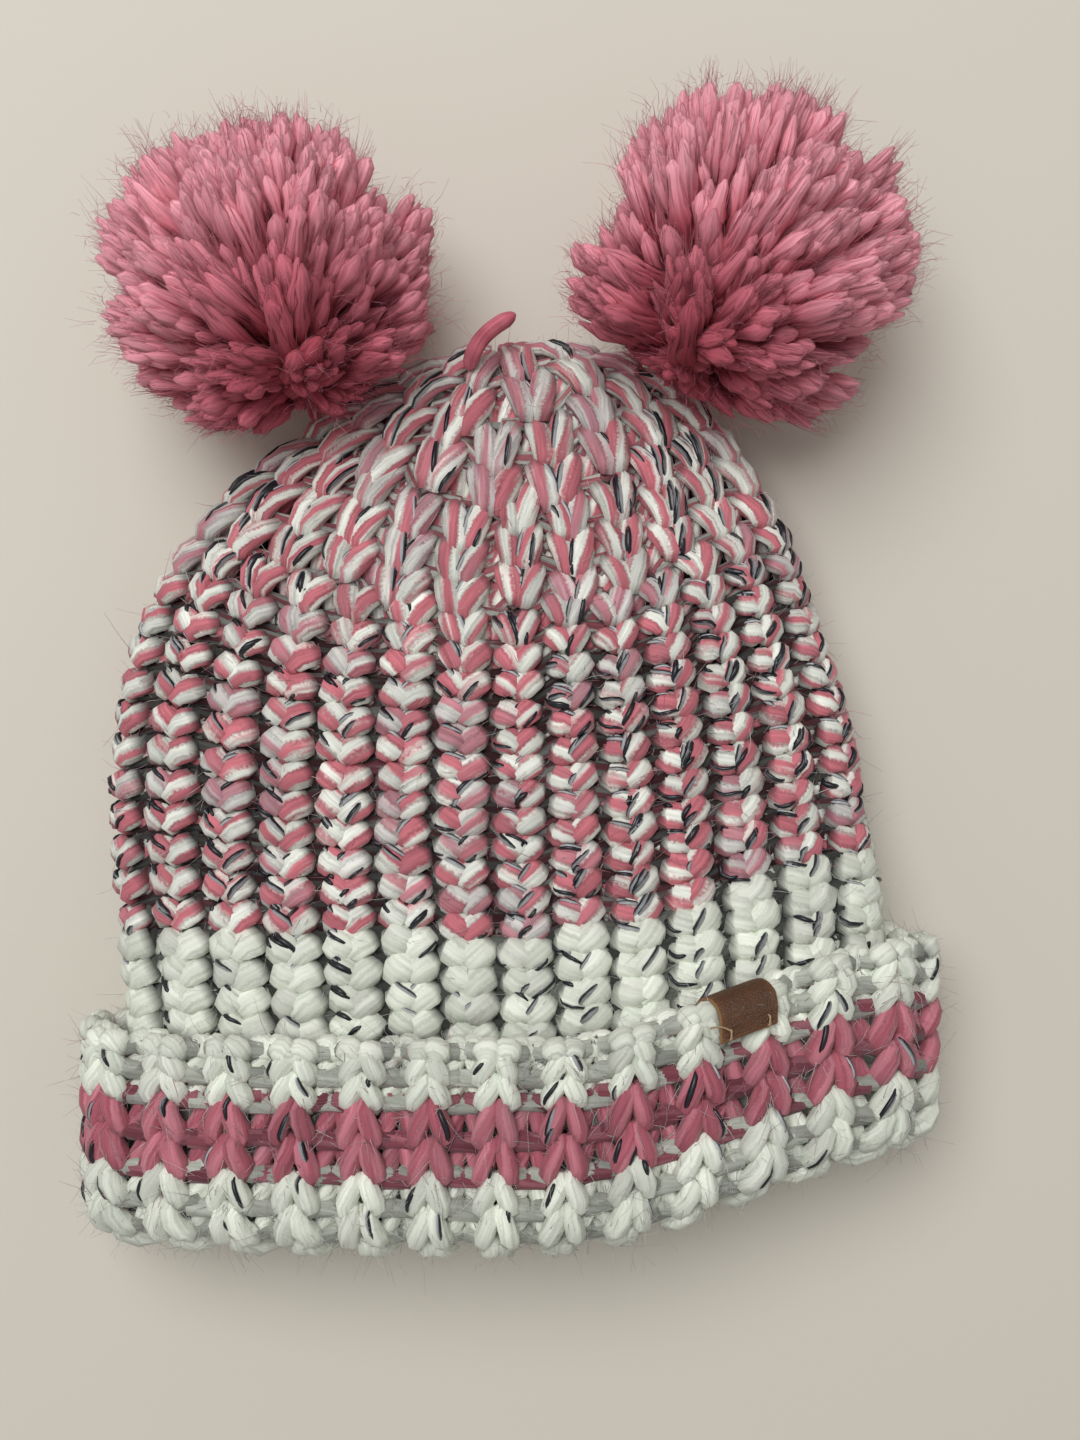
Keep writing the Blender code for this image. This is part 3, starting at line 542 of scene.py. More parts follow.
def knitPaths(first, last, pairs):
    # every course is one closed loop of yarn; its curve is laid on the fabric by turn, course and depth
    chance = np.random.default_rng(knit["seed"] + last)
    rows, count = last - first, pairs * 2 * stitchSamples
    number = np.arange(first, last)[:, None]
    crownShare = smoothStep(number, *knit["crownFrom"])[..., None]
    bodyShare = (smoothStep(number, *knit["narrowTo"])[..., None]) * (1.0 - crownShare)
    castShare = 1.0 * (number < 0)[..., None]
    curves = {style: np.tile(stitchCurve(style), (pairs, 1)) for style in ("cuff", "body", "crown", "castOn")}
    curve = curves["body"] * bodyShare + curves["crown"] * crownShare + curves["castOn"] * castShare
    curve = curve + curves["cuff"] * (1.0 - bodyShare - crownShare - castShare)
    across, along, depth, flat, thick = np.moveaxis(curve, 2, 0)
    across = across + 0.5 + np.repeat(np.arange(pairs), 2 * stitchSamples)
    # each rib sits a little higher or lower than the next, and the step between them is in the groove
    shift = (np.random.default_rng(knit["seed"]).random(pairs) - 0.5) * knit["ribShift"]
    rib = np.floor(across).astype(int)
    step = smoothStep(across - rib, 0.75, 1.25) - smoothStep(rib - across, -0.25, 0.25)
    here, before, after = shift[rib % pairs], shift[(rib - 1) % pairs], shift[(rib + 1) % pairs]
    shifted = here + np.where(step > 0.0, (after - here) * step, (here - before) * step)
    along = along + shifted * (bodyShare + crownShare)[..., 0]
    half = stitchSamples // 2
    across = across + (smoothNoise(chance, rows, count, half) - 0.5) * 0.07
    along = along + (smoothNoise(chance, rows, count, half) - 0.5) * 0.16
    depth = depth + (smoothNoise(chance, rows, count, half) - 0.5) * 0.20
    turn, course = across / pairs, number + along
    # painted shade: thin and deep stretches lie in the grooves, which the cuff's stretched ribs don't have, and are
    # painted darker there
    grooveShade = np.maximum(smoothStep(thick, 0.90, 0.60), smoothStep(np.abs(depth), 0.50, 0.10))
    grooveShade = grooveShade * (0.50 + 0.50 * bodyShare + 0.15 * castShare)[..., 0]
    # the leather tab presses the edge's first course down
    middle, far, near, least = knit["underTag"]
    flatPoint = fabricAlong(turn, course, 0.0)
    pressed = smoothStep(np.abs(flatPoint[..., 0] - middle), far, near) * (flatPoint[..., 2] > 0.02) * (number < 1)
    course = course + np.maximum(least - course, 0.0) * pressed
    pitch = np.where(course < courses["marl"][0], 0.016, lookUp(pitchTable, turn, course))
    radius = np.interp(course, knit["radiusAt"], knit["radius"])
    radius = np.minimum(radius, pitch * knit["pitchShare"] * tube["columns"] / pairs)
    radius = np.maximum(radius, knit["leastRadius"])
    thin = radius / max(knit["radius"])
    spare = knit["fullDepth"] - radius - 0.9 * knit["depth"] * thin
    depth = depth * knit["depth"] * thin + np.sign(depth) * np.minimum(np.abs(depth), 1.0) * np.maximum(spare, 0.0)
    path = fabricAlong(turn, course, depth)
    up = unit(fabricAlong(turn, course, depth + 0.0005) - path)
    lumps = 1.0 + (smoothNoise(chance, rows, count, 5) - 0.5) * 0.14
    part = {"path": path, "up": up, "radius": radius * lumps * thick, "flat": flat, "first": first, "grooveShade": grooveShade}
    part["length"] = strandLength(path)
    part["along"] = unit(np.roll(path, -1, axis=1) - np.roll(path, 1, axis=1))
    # plies turn once in each twist pitch, a whole number of turns in each closed course
    total = part["length"][:, -1:]
    turns = np.round(total / knit["twistPitch"])
    part["phase"] = 2.0 * math.pi * (chance.random((rows, 1)) + turns * part["length"] / total)
    return part


# ribs are knitted together toward the crown, so its courses have fewer of them
ribYarn = knitPaths(-1, 30, tube["columns"])
upperYarn = knitPaths(30, 33, 24)
topYarn = knitPaths(33, 35, 18)
crownYarn = knitPaths(35, 37, 12)


def yarnTint(chance, grooveShade, haze):
    # the plies' common drift, patches of haze, and the shade of each stretch of yarn: random tone, with painted shade
    # darkening the yarn in the grooves
    rows, count = grooveShade.shape
    drift = smoothNoise(chance, rows, count, stitchSamples)
    patch = smoothStep(smoothNoise(chance, rows, count, 12), 0.60, 0.95) * haze
    shade = smoothNoise(chance, rows, count, 9)
    # painted shade: the groove mask pulls the shade far down and takes the haze out there
    return np.stack([drift, patch * (1.0 - grooveShade), np.maximum(shade - 3.0 * grooveShade, -2.2)], axis=-1)


def addCourses(name, yarn, first, last, material, haze):
    angles = np.arange(knit["plies"] * 2) * math.pi / knit["plies"]
    reach = np.tile([1.0, knit["valleyReach"]], knit["plies"])
    rows = slice(first - yarn["first"], last - yarn["first"])
    part = {key: value[rows] for key, value in yarn.items() if key != "first"}
    points = sweep(part["path"], part["up"], part["radius"], angles, reach, part["phase"], part["flat"], True)[0]
    points[..., 2] = np.maximum(points[..., 2], 0.0)
    rows, count, sides = points.shape[:3]
    chance = np.random.default_rng(100 + first)
    strandMap = gridMap(part["length"] * 100.0 + chance.random((rows, 1)) * 300.0, sides, True)
    tint = np.repeat(yarnTint(chance, part["grooveShade"], haze)[:, :, None], sides, axis=2)
    return addMesh(name, points, gridFaces(rows, count, sides, True), material, tint, strandMap)


knitPieces = (
    ("marl_knit_lower", ribYarn, 18, 24, marlYarn, 0.8, "marl_yarn", "marl_body"),
    ("marl_knit_middle", ribYarn, 24, 30, marlYarn, 0.8, "marl_yarn", "marl_body"),
    ("marl_knit_upper", upperYarn, 30, 33, marlYarn, 0.8, "marl_yarn", "marl_body"),
    ("marl_knit_top", topYarn, 33, 35, marlYarn, 0.8, "marl_yarn", "marl_body"),
    ("marl_knit_crown", crownYarn, 35, 37, marlYarn, 0.8, "marl_yarn", "marl_body"),
    ("white_knit_band", ribYarn, 13, 18, whiteYarn, 0.35, "white_yarn", "white_band"),
    ("white_knit_inside", ribYarn, 8, 13, whiteYarn, 0.35, "white_yarn", "white_band"),
    ("white_knit_fold", ribYarn, 4, 8, whiteYarn, 0.35, "white_yarn", "white_band"),
    ("rose_knit_stripe", ribYarn, 2, 4, roseYarn, 0.35, "rose_yarn", "pink_stripe"),
    ("white_knit_edge", ribYarn, -1, 2, whiteYarn, 0.35, "white_yarn", "cast_on_edge"),
)
for name, yarn, first, last, material, haze, slot, node in knitPieces:
    place(addCourses(name, yarn, first, last, material, haze), "hat", slot, node)
print("knitting done,", len(knitPieces), "pieces")

# Short lengths of the black filament that surface on the yarn
# the black filament is real, but the dashes are drawn wider than it, so each also covers the painted shade of the
# crease it lies in
dashes = {"points": 7, "run": (1.6, 3.2), "halfWidth": 0.00042, "flat": 1.6, "sides": 4, "seed": 21}


def alongYarn(yarn, row, position):
    # path, frame and radius of the yarn between its samples
    count = yarn["path"].shape[1]
    row = row - yarn["first"]
    i = np.floor(position).astype(int)
    t = (position - i)[..., None]
    near, far = i % count, (i + 1) % count
    path = yarn["path"][row, near] * (1.0 - t) + yarn["path"][row, far] * t
    along = unit(yarn["along"][row, near] * (1.0 - t) + yarn["along"][row, far] * t)
    up = yarn["up"][row, near] * (1.0 - t) + yarn["up"][row, far] * t
    up = unit(up - along * np.sum(up * along, axis=-1, keepdims=True))
    radius = yarn["radius"][row, near] * (1.0 - t[..., 0]) + yarn["radius"][row, far] * t[..., 0]
    return path, along, up, radius, yarn["flat"][row, near]


def addDashes(name, yarn, first, last, slot, share):
    # a dash follows one arm of a stitch at a slowly turning angle, and sinks into it at both ends
    chance = np.random.default_rng(dashes["seed"] + first)
    points, sides = dashes["points"], dashes["sides"]
    stitches = yarn["path"].shape[1] // stitchSamples
    each = int(share * 2 * stitches)
    count = each * (last - first)
    row = np.repeat(np.arange(first, last), each)[:, None]
    stitch = chance.integers(0, stitches, (count, 1))
    arm = chance.choice([1.6, 8.4], (count, 1)) + 1.4 * chance.random((count, 1))
    t = np.linspace(0.0, 1.0, points)
    low, high = dashes["run"]
    position = stitch * stitchSamples + arm + (low + (high - low) * chance.random((count, 1))) * t
    path, along, up, radius, flat = alongYarn(yarn, row, position)
    side = np.cross(along, up)
    facing = np.where(stitch % 2 == 0, 0.0, math.pi)
    # mostly on the upper side of the arm, in the crease under the next course
    lean = np.where(chance.random((count, 1)) < 0.8, -1.0, 1.0) * (0.45 + 0.5 * chance.random((count, 1)))
    angle = facing + lean + (chance.random((count, 1)) - 0.5) * 0.9 * t
    out = up * np.cos(angle)[..., None] + side * np.sin(angle)[..., None] * flat[..., None]
    swell = np.sin(math.pi * t) ** 0.5
    lift = radius * (0.84 + 0.17 * swell)
    turns = np.arange(sides) * 2.0 * math.pi / sides
    size = dashes["halfWidth"] * (0.4 + 0.6 * swell) * (0.75 + 0.55 * chance.random((count, 1)))
    shape = sweep(path + out * lift[..., None], out, size, turns, np.ones(sides), 0.0, dashes["flat"])[0]
    shape[..., 2] = np.maximum(shape[..., 2], 0.0)
    tint = np.zeros((count, points, sides, 3))
    # painted highlight: one edge of most dashes is painted silver where light would catch it
    tint[:, :, 1, 0] = 0.85 * (chance.random((count, 1)) > 0.35)  # one edge catches the light
    tint[..., 2] = 0.5
    strandMap = gridMap(strandLength(path) * 100.0, sides, False)
    faces = gridFaces(count, points, sides, False)
    return place(addMesh(name, shape, faces, filament, tint, strandMap), "hat", slot)


addDashes("filament_marl", ribYarn, 18, 30, "marl_yarn", 1.5)
addDashes("filament_upper", upperYarn, 30, 33, "marl_yarn", 1.0)
addDashes("filament_top", topYarn, 33, 35, "marl_yarn", 1.0)
addDashes("filament_crown", crownYarn, 35, 37, "marl_yarn", 1.0)
addDashes("filament_white", ribYarn, 12, 18, "white_yarn", 0.8)
addDashes("filament_fold", ribYarn, 4, 6, "white_yarn", 0.45)
addDashes("filament_rose", ribYarn, 2, 4, "rose_yarn", 0.45)
addDashes("filament_edge", ribYarn, 0, 2, "white_yarn", 0.35)
print("black filament done")

# Loose fibres that stand off the yarn
fuzz = {"points": 3, "radius": 0.00008, "length": (0.003, 0.010), "seed": 31}


def addFuzz(name, yarn, first, last, each, pink, slot):
    # a fibre starts on the yarn, leans along it and curls away
    chance = np.random.default_rng(fuzz["seed"] + first)
    count = each * (last - first)
    row = np.repeat(np.arange(first, last), each)[:, None]
    start = chance.random((count, 1)) * yarn["path"].shape[1]
    path, along, up, radius, flat = alongYarn(yarn, row, start)
    side = np.cross(along, up)
    angle = (chance.random((count, 1)) * 2.0 * math.pi)[..., None]
    out = up * np.cos(angle) + side * np.sin(angle)
    root = path + out * (radius * 0.93)[..., None]
    lean = along * chance.choice([-1.0, 1.0], (count, 1, 1)) + out * (0.2 + 0.6 * chance.random((count, 1, 1)))
    curl = unit(chance.standard_normal((count, 1, 3)))
    t = np.linspace(0.0, 1.0, fuzz["points"])[None, :, None]
    low, high = fuzz["length"]
    reach = low + (high - low) * chance.random((count, 1, 1)) ** 2
    fibre = root + reach * (unit(lean) * t + curl * 0.5 * t * t)
    fibre[..., 2] = np.maximum(fibre[..., 2], 0.0003)
    size = fuzz["radius"] * (1.0 - 0.6 * t[..., 0]) * np.ones((count, 1))
    tint = np.zeros((count, fuzz["points"], 3))
    tint[..., 0] = chance.random((count, 1)) < pink
    tint[..., 1] = chance.random((count, 1)) < 0.45
    tint[..., 2] = chance.random((count, 1))
    return place(addStrands(name, fibre, np.broadcast_to(out, fibre.shape), size, fuzzYarn, 3, tint), "hat", slot)


addFuzz("fuzz_marl", ribYarn, 18, 30, 450, 0.5, "marl_yarn")
addFuzz("fuzz_upper", upperYarn, 30, 33, 380, 0.5, "marl_yarn")
addFuzz("fuzz_top", topYarn, 33, 35, 300, 0.5, "marl_yarn")
addFuzz("fuzz_crown", crownYarn, 35, 37, 260, 0.5, "marl_yarn")
addFuzz("fuzz_white", ribYarn, 13, 18, 320, 0.0, "white_yarn")
addFuzz("fuzz_fold", ribYarn, 5, 9, 1900, 0.0, "white_yarn")
addFuzz("fuzz_cuff", ribYarn, 0, 5, 1100, 0.3, "rose_yarn")
print("fuzz done")

# Pom poms: soft strands fan out from the binding to a ball of locks, the same locks as the solids have
pompoms = {
    "strands": 1250, "ballRadius": 0.0432, "neckFlat": 0.0085, "rootAt": 0.0136, "sweep": 1.7, "bend": 0.52,
    "rings": (0.0, 0.34, 0.50, 0.63, 0.74, 0.84, 0.92, 0.97, 1.0),
    "thick": 0.0019, "rootThick": 0.0009, "slub": 0.36, "slubPitch": 0.0120, "tip": (0.0018, 0.0050),
    "locks": 44, "lockSlope": 0.20, "creaseReach": 0.82, "shortReach": 0.91, "lockPull": 0.42, "innerEvery": 3,
    "longLocks": 0.22, "longer": 0.10,
    "fibres": 8, "fibreRadius": 0.00013, "fibreFrom": (0.45, 0.85), "fibrePast": 0.07, "wispPast": 0.16,
    "wisps": 0.16, "strays": 3500,
    "left": {"pivot": (-0.0525, 0.0739, 0.0190), "centre": (-0.0590, 0.0990, 0.0405),
             "fan": (-0.0470, 0.0690), "seed": 3},
    "right": {"pivot": (0.0455, 0.0845, 0.0190), "centre": (0.0600, 0.1030, 0.0405),
              "fan": (0.0405, 0.0720), "seed": 8},
}


def lockReach(directions, locks, tops):
    # share of the ball's radius: full over a lock, less midway between the two nearest locks
    angles = np.arccos(np.clip(directions @ locks.T, -1.0, 1.0))
    nearest, second = np.sort(angles, axis=1)[:, :2].T
    rise = smoothStep(second - nearest, 0.0, pompoms["lockSlope"])
    low = pompoms["creaseReach"]
    return low + (tops[np.argmin(angles, axis=1)] - low) * rise


def makeTufts(spec):
    # strand = curve from the binding, bent outward from the fan's middle, to a point of the ball
    chance = np.random.default_rng(spec["seed"])
    locks = unit(chance.standard_normal((pompoms["locks"], 3)))
    tops = pompoms["shortReach"] + (1.0 - pompoms["shortReach"]) * chance.random(pompoms["locks"])
    tops = tops + pompoms["longer"] * (chance.random(pompoms["locks"]) < pompoms["longLocks"])
    count = pompoms["strands"]
    pivot, centre = np.array(spec["pivot"]), np.array(spec["centre"])
    axis = unit(centre - pivot)
    k = np.arange(count) + 0.5
    polar, golden = np.arccos(1.0 - 2.0 * k / count), math.pi * (1.0 + 5.0**0.5) * k
    normal = np.stack([np.cos(golden) * np.sin(polar), np.sin(golden) * np.sin(polar), np.cos(polar)], axis=1)
    normal = unit(normal + 0.055 * chance.standard_normal((count, 3)))
    # tips gather into locks, and some strands end below the others
    nearest = locks[np.argmax(normal @ locks.T, axis=1)]
    outward = unit(normal * (1.0 - pompoms["lockPull"]) + nearest * pompoms["lockPull"])
    inner = (np.arange(count) % pompoms["innerEvery"] == 0)[:, None]
    reach = lockReach(outward, locks, tops)[:, None] * (1.015 - 0.09 * chance.random((count, 1)))
    reach = np.where(inner, 0.76 + 0.08 * chance.random((count, 1)), reach)
    tip = centre + np.where(inner, normal, outward) * pompoms["ballRadius"] * reach
    low = (tip - pivot) @ axis
    tip = tip + axis * np.maximum(pompoms["neckFlat"] - low, 0.0)[:, None]
    tip[:, 2] = np.maximum(tip[:, 2], 0.003)
    root = pivot + axis * pompoms["rootAt"] + 0.002 * chance.standard_normal((count, 3))
    level = (tip - np.array((*spec["fan"], 0.0))) * (1.0, 1.0, 0.0)
    level = level / (np.linalg.norm(level, axis=1, keepdims=True) + 0.008)
    leave = unit(unit(tip - root) + pompoms["sweep"] * level + 0.18 * chance.standard_normal((count, 3)))
    bend = tip - leave * pompoms["bend"] * np.linalg.norm(tip - root, axis=1, keepdims=True)
    across = unit(np.cross(leave, (0.31, 0.22, 0.93)))
    thick = pompoms["thick"] * (0.8 + 0.4 * chance.random((count, 1)))
    spread = smoothStep(np.linalg.norm(tip[:, :2] - spec["fan"], axis=1, keepdims=True), 0.004, 0.050)
    return {"root": root, "bend": bend, "tip": tip, "leave": leave, "across": across, "thick": thick,
            "spread": spread, "shade": chance.random((count, 1))}


def tuftCurve(tufts, t):
    # the quadratic curve root (1-t)^2 + bend 2t(1-t) + tip t^2, which runs straight on past its tip
    t = np.atleast_2d(t)[..., None]
    inside = np.minimum(t, 1.0)
    curve = tufts["root"][:, None] * (1 - inside) ** 2 + tufts["bend"][:, None] * 2 * inside * (1 - inside)
    past = 2.0 * (tufts["tip"] - tufts["bend"])[:, None] * (t - inside)
    return curve + tufts["tip"][:, None] * inside**2 + past


def addPompom(side):
    spec = pompoms[side]
    tufts = makeTufts(spec)
    chance = np.random.default_rng(spec["seed"] + 1)
    t = np.array(pompoms["rings"])
    path = tuftCurve(tufts, t)
    count, rings = path.shape[:2]
    length = strandLength(path)
    short, long = pompoms["tip"]
    left = (length[:, -1:] - length) / (short + (long - short) * chance.random((count, 1)))
    grow = smoothStep(t, 0.0, 0.5)
    body = pompoms["rootThick"] * (1.0 - grow) + tufts["thick"] * grow
    slubs = np.sin(length / pompoms["slubPitch"] * 2.0 * math.pi + chance.random((count, 1)) * 6.28)
    radius = body * (1.0 + pompoms["slub"] * slubs) * np.clip(left, 0.0, 1.0) ** 0.5
    radius = np.maximum(radius, 0.0004)
    tint = np.zeros((count, rings, 3))
    # painted shade: strands are darkest at their roots and near the fan's middle, and paler toward their tips and the
    # ball's outline, with random tone between strands
    tint[..., 0] = smoothStep(t, 0.45, 1.0) * (0.24 + 0.60 * tufts["spread"] + 0.2 * chance.random((count, 1)))
    tint[..., 1] = smoothStep(t, 0.70, 1.0) * (0.02 + 1.15 * tufts["spread"] ** 2)
    tint[..., 2] = tufts["shade"]
    up = np.broadcast_to(tufts["across"][:, None], path.shape)
    piece = addStrands(f"{side}_pompom_tufts", path, up, radius, tuftYarn, 6, tint)
    place(piece, f"{side}_tufts", "pompom_yarn", f"{side}_pompom")
    addTuftFibres(side, tufts, chance)


def addTuftFibres(side, tufts, chance):
    # fine fibres lie along the outer part of each strand, at its surface, and run out past its tip
    each = pompoms["fibres"]
    own = {key: np.repeat(value, each, axis=0) for key, value in tufts.items()}
    many = len(own["tip"])
    low, high = pompoms["fibreFrom"]
    start = low + (high - low) * chance.random((many, 1))
    wisp = np.repeat(chance.random((len(tufts["tip"]), 1)) < pompoms["wisps"], each, axis=0)
    end = 0.97 + np.where(wisp, pompoms["wispPast"], pompoms["fibrePast"]) * chance.random((many, 1))
    step = np.linspace(0.0, 1.0, 4)
    t = start + (end - start) * step
    angle = 2.0 * math.pi * chance.random((many, 1)) + 0.8 * step * (chance.random((many, 1)) - 0.5)
    second = np.cross(own["leave"], own["across"])
    around = own["across"][:, None] * np.cos(angle)[..., None] + second[:, None] * np.sin(angle)[..., None]
    off = own["thick"] * (0.90 + 0.16 * chance.random((many, 1))) * (1.0 - 0.45 * smoothStep(t, 0.88, 1.02))
    fray = 0.0016 * chance.random((many, 1)) ** 3 * step**2
    path = tuftCurve(own, t) + around * (off + fray)[..., None]
    path[..., 2] = np.maximum(path[..., 2], 0.0003)
    size = pompoms["fibreRadius"] * (0.6 + 0.6 * chance.random((many, 1))) * (1.0 - 0.75 * step**2)
    tint = np.zeros((*t.shape, 3))
    # painted shade, as on the strands: the fibres are darker toward the roots and the fan's middle
    tint[..., 0] = smoothStep(t, 0.45, 1.0) * (0.30 + 0.55 * own["spread"] + 0.15 * chance.random((many, 1)))
    tint[..., 1] = smoothStep(t, 0.70, 1.0) * (0.10 + 1.40 * own["spread"] ** 2)
    tint[..., 2] = 0.5 * own["shade"] + 0.5 * chance.random((many, 1))
    for half, name in ((slice(0, many // 2), "fibres"), (slice(many // 2, many), "fibres_far")):
        piece = addStrands(f"{side}_pompom_{name}", path[half], around[half], size[half], tuftYarn, 3, tint[half])
        place(piece, f"{side}_tufts", "pompom_yarn")

    # stray fibres stand off the tips as a haze
    pick = chance.integers(0, len(tufts["tip"]), pompoms["strays"])
    count = len(pick)
    root = tufts["tip"][pick][:, None] + 0.0016 * chance.standard_normal((count, 1, 3))
    lean = unit(tufts["leave"][pick][:, None] + 0.55 * chance.standard_normal((count, 1, 3)))
    curl = unit(chance.standard_normal((count, 1, 3)))
    t = np.linspace(0.0, 1.0, fuzz["points"])[None, :, None]
    stray = root + (0.002 + 0.004 * chance.random((count, 1, 1)) ** 2) * (lean * t + 0.7 * curl * t * t)
    stray[..., 2] = np.maximum(stray[..., 2], 0.0003)
    size = 0.00006 * (1.0 - 0.6 * t[..., 0]) * np.ones((count, 1))
    tint = np.full((count, fuzz["points"], 3), 0.9)
    piece = addStrands(f"{side}_pompom_fuzz", stray, np.broadcast_to(curl, stray.shape), size, tuftYarn, 3, tint)
    place(piece, f"{side}_tufts", "pompom_yarn")


addPompom("left")
addPompom("right")
print("pom poms done")

# Short yarns: the ties of the pom poms, the yarn end on the crown and the gather
ties = {
    "left": {"knot": (-0.0395, 0.0520, 0.0165)}, "right": {"knot": (0.0290, 0.0630, 0.0165)},
    "stemRadius": 0.0018, "eyeRadius": 0.0025, "knotRadius": 0.0029, "ballTurns": 4.0,
    "link": (0.0034, 0.0104), "linkRadius": 0.0021, "ring": 0.0038, "ringAt": 0.0136, "ringPitch": 0.0019,
    "ringYarn": 0.0013, "ringTurns": 3.0, "twist": 0.012, "sides": 8,
    "tail": ((-0.0098, 0.0790, 0.0290), (-0.0070, 0.0845, 0.0340), (-0.0030, 0.0885, 0.0340), (0.0020, 0.0922, 0.0320)),
    "tailRadius": 0.0021,
    "gatherAxes": (0.0058, 0.0022), "gatherShift": (0.0066, 0.0033), "gatherRadius": 0.0015,
}


def sideways(direction):
    # two directions square to the one given and to each other
    first = unit(np.cross(direction, (0.31, 0.22, 0.93)))
    return first, np.cross(direction, first)


def addYarn(name, path, radius, material, body, node, seed, plies=3):
    # plies wound round a path: each runs half a yarn radius off it, and ends in a soft taper
    chance = np.random.default_rng(seed)
    length = strandLength(path[None])[0]
    along = unit(np.gradient(path, axis=0))
    first, second = sideways(along)
    angle = 2.0 * math.pi * (length / ties["twist"] + np.arange(plies)[:, None] / plies)[..., None]
    off, thick = (0.52, 0.55) if plies > 1 else (0.0, 1.0)
    strands = path + off * radius * (first * np.cos(angle) + second * np.sin(angle))
    ends = np.minimum(length, length[-1] - length) / (1.5 * radius)
    size = thick * radius * (0.25 + 0.75 * np.clip(ends, 0.0, 1.0) ** 0.5) * np.ones((plies, 1))
    tint = np.zeros((*strands.shape[:2], 3))
    tint[..., 0] = 0.4 + 0.5 * smoothNoise(chance, plies, len(path), 4)
    tint[..., 1] = 0.3 * smoothNoise(chance, plies, len(path), 3)
    tint[..., 2] = smoothNoise(chance, plies, len(path), 3)
    up = np.broadcast_to(first, strands.shape)
    return strands, up, size, tint


def ballPath(centre, radius):
    # yarn wound on a ball: once from pole to pole while it goes round some turns
    t = np.linspace(0.0, 1.0, 60)[:, None]
    spin = 2.0 * math.pi * ties["ballTurns"] * t
    rim = np.sin(math.pi * t)
    return np.array(centre) + radius * np.concatenate([np.cos(spin) * rim, np.sin(spin) * rim, np.cos(math.pi * t)], axis=1)


def addYarns(name, runs, material, body, slot, node):
    # several runs of yarn as one piece; each run is a path, a yarn radius and a number of plies
    made = [addYarn(name, path, radius, material, body, node, k, plies) for k, (path, radius, plies) in enumerate(runs)]
    rings = [strands.shape[1] for strands, *_ in made]
    points, faces, tints, maps, start = [], [], [], [], 0
    for strands, up, size, tint in made:
        sides = ties["sides"]
        angles = np.arange(sides) * 2.0 * math.pi / sides
        shape = sweep(strands, up, size, angles, np.ones(sides))[0]
        points.append(shape.reshape(-1, 3))
        faces += [group + start for group in gridFaces(*shape.shape[:3], False)]
        tints.append(np.repeat(tint[:, :, None], sides, axis=2).reshape(-1, 3))
        maps.append(gridMap(strandLength(strands) * 100.0, sides, False))
        start += points[-1].shape[0]
    piece = addMesh(name, np.concatenate(points), faces, material, np.concatenate(tints), np.concatenate(maps))
    return place(piece, body, slot, node)


def addTies(side):
    pivot, centre = np.array(pompoms[side]["pivot"]), np.array(pompoms[side]["centre"])
    knot, axis = np.array(ties[side]["knot"]), unit(centre - pivot)
    t = np.linspace(0.0, 1.0, 24)[:, None]
    stem = (pivot + (knot - pivot) * t, ties["stemRadius"], 3)
    eye = (ballPath(pivot, ties["eyeRadius"] - 0.0009), 0.0009, 1)
    tied = (ballPath(knot, ties["knotRadius"] - 0.0011), 0.0011, 1)
    addYarns(f"{side}_anchor_strands", [stem, eye, tied], tuftYarn, "hat", "pompom_yarn", f"{side}_anchor_yarn")
    low, high = ties["link"]
    loop = (pivot + axis * (low + (high - low) * t), ties["linkRadius"], 2)
    addYarns(f"{side}_link_strands", [loop], tuftYarn, f"{side}_tie", "pompom_yarn", f"{side}_link_loop")
    first, second = sideways(axis)
    t = np.linspace(-0.5, 0.5, 72)[:, None]
    spin = 2.0 * math.pi * ties["ringTurns"] * t
    ring = pivot + axis * (ties["ringAt"] + ties["ringPitch"] * ties["ringTurns"] * t)
    ring = ring + ties["ring"] * (first * np.cos(spin) + second * np.sin(spin))
    addYarns(f"{side}_binding_strands", [(ring, ties["ringYarn"], 2)], tuftYarn, f"{side}_tufts", "pompom_yarn",
             f"{side}_binding")


def addCrownYarns():
    # the yarn end follows the cubic through its four points; the gather is an oval in the last course
    t = np.linspace(0.0, 1.0, 22)
    cubic = np.polyfit(np.linspace(0.0, 1.0, 4), np.array(ties["tail"]), 3)
    tail = cubic[0] * t[:, None] ** 3 + cubic[1] * t[:, None] ** 2 + cubic[2] * t[:, None] + cubic[3]
    addYarns("yarn_end", [(tail, ties["tailRadius"], 1)], tuftYarn, "hat", "pompom_yarn", "yarn_tail")
    spin = np.linspace(0.0, 2.2 * math.pi, 60)
    wide, high = ties["gatherAxes"]
    shiftX, shiftY = ties["gatherShift"]
    x = tube["centreX"] + shiftX + wide * np.cos(spin)
    z = (tube["frontZ"] - tube["crownDrop"] + tube["backZ"]) / 2.0 + high * np.sin(spin)
    oval = np.stack([x, np.full_like(x, tube["shoulderY"] + tube["crownRise"] + shiftY), z], axis=1)
    addYarns("gather_strands", [(oval, ties["gatherRadius"], 3)], roseYarn, "hat", "marl_yarn", "crown_gather_yarn")


addTies("left")
addTies("right")
addCrownYarns()
print("ties, yarn end and gather done")

# Leather tab folded over the cuff's upper edge, with its two stitches
tag = {
    "x": 0.0570, "width": 0.0135, "frontLength": 0.0105, "backLength": 0.0090, "thickness": 0.0011,
    "clearance": 0.0004, "crest": 0.0055, "inside": 0.0050, "ripple": 0.00012, "seed": 41,
    "edges": (0.0, 0.72, 0.97, 1.0), "edgePlaces": (1.0, 0.992, 0.965, 0.90),
    "stitchInset": 0.0022, "stitchRow": 0.0075, "stitchHalf": 0.0013, "threadRadius": 0.0004,
}


def cuffTurn(x):
    # the share of the turn at which the front of the cuff's edge has this x
    turns = np.linspace(0.02, 0.48, 400)
    edge = fabricPoint(turns, tube["cuffTopY"], tube["cuffOffset"] + tag["crest"])[:, 0]
    return np.interp(x, edge[::-1], turns[::-1])


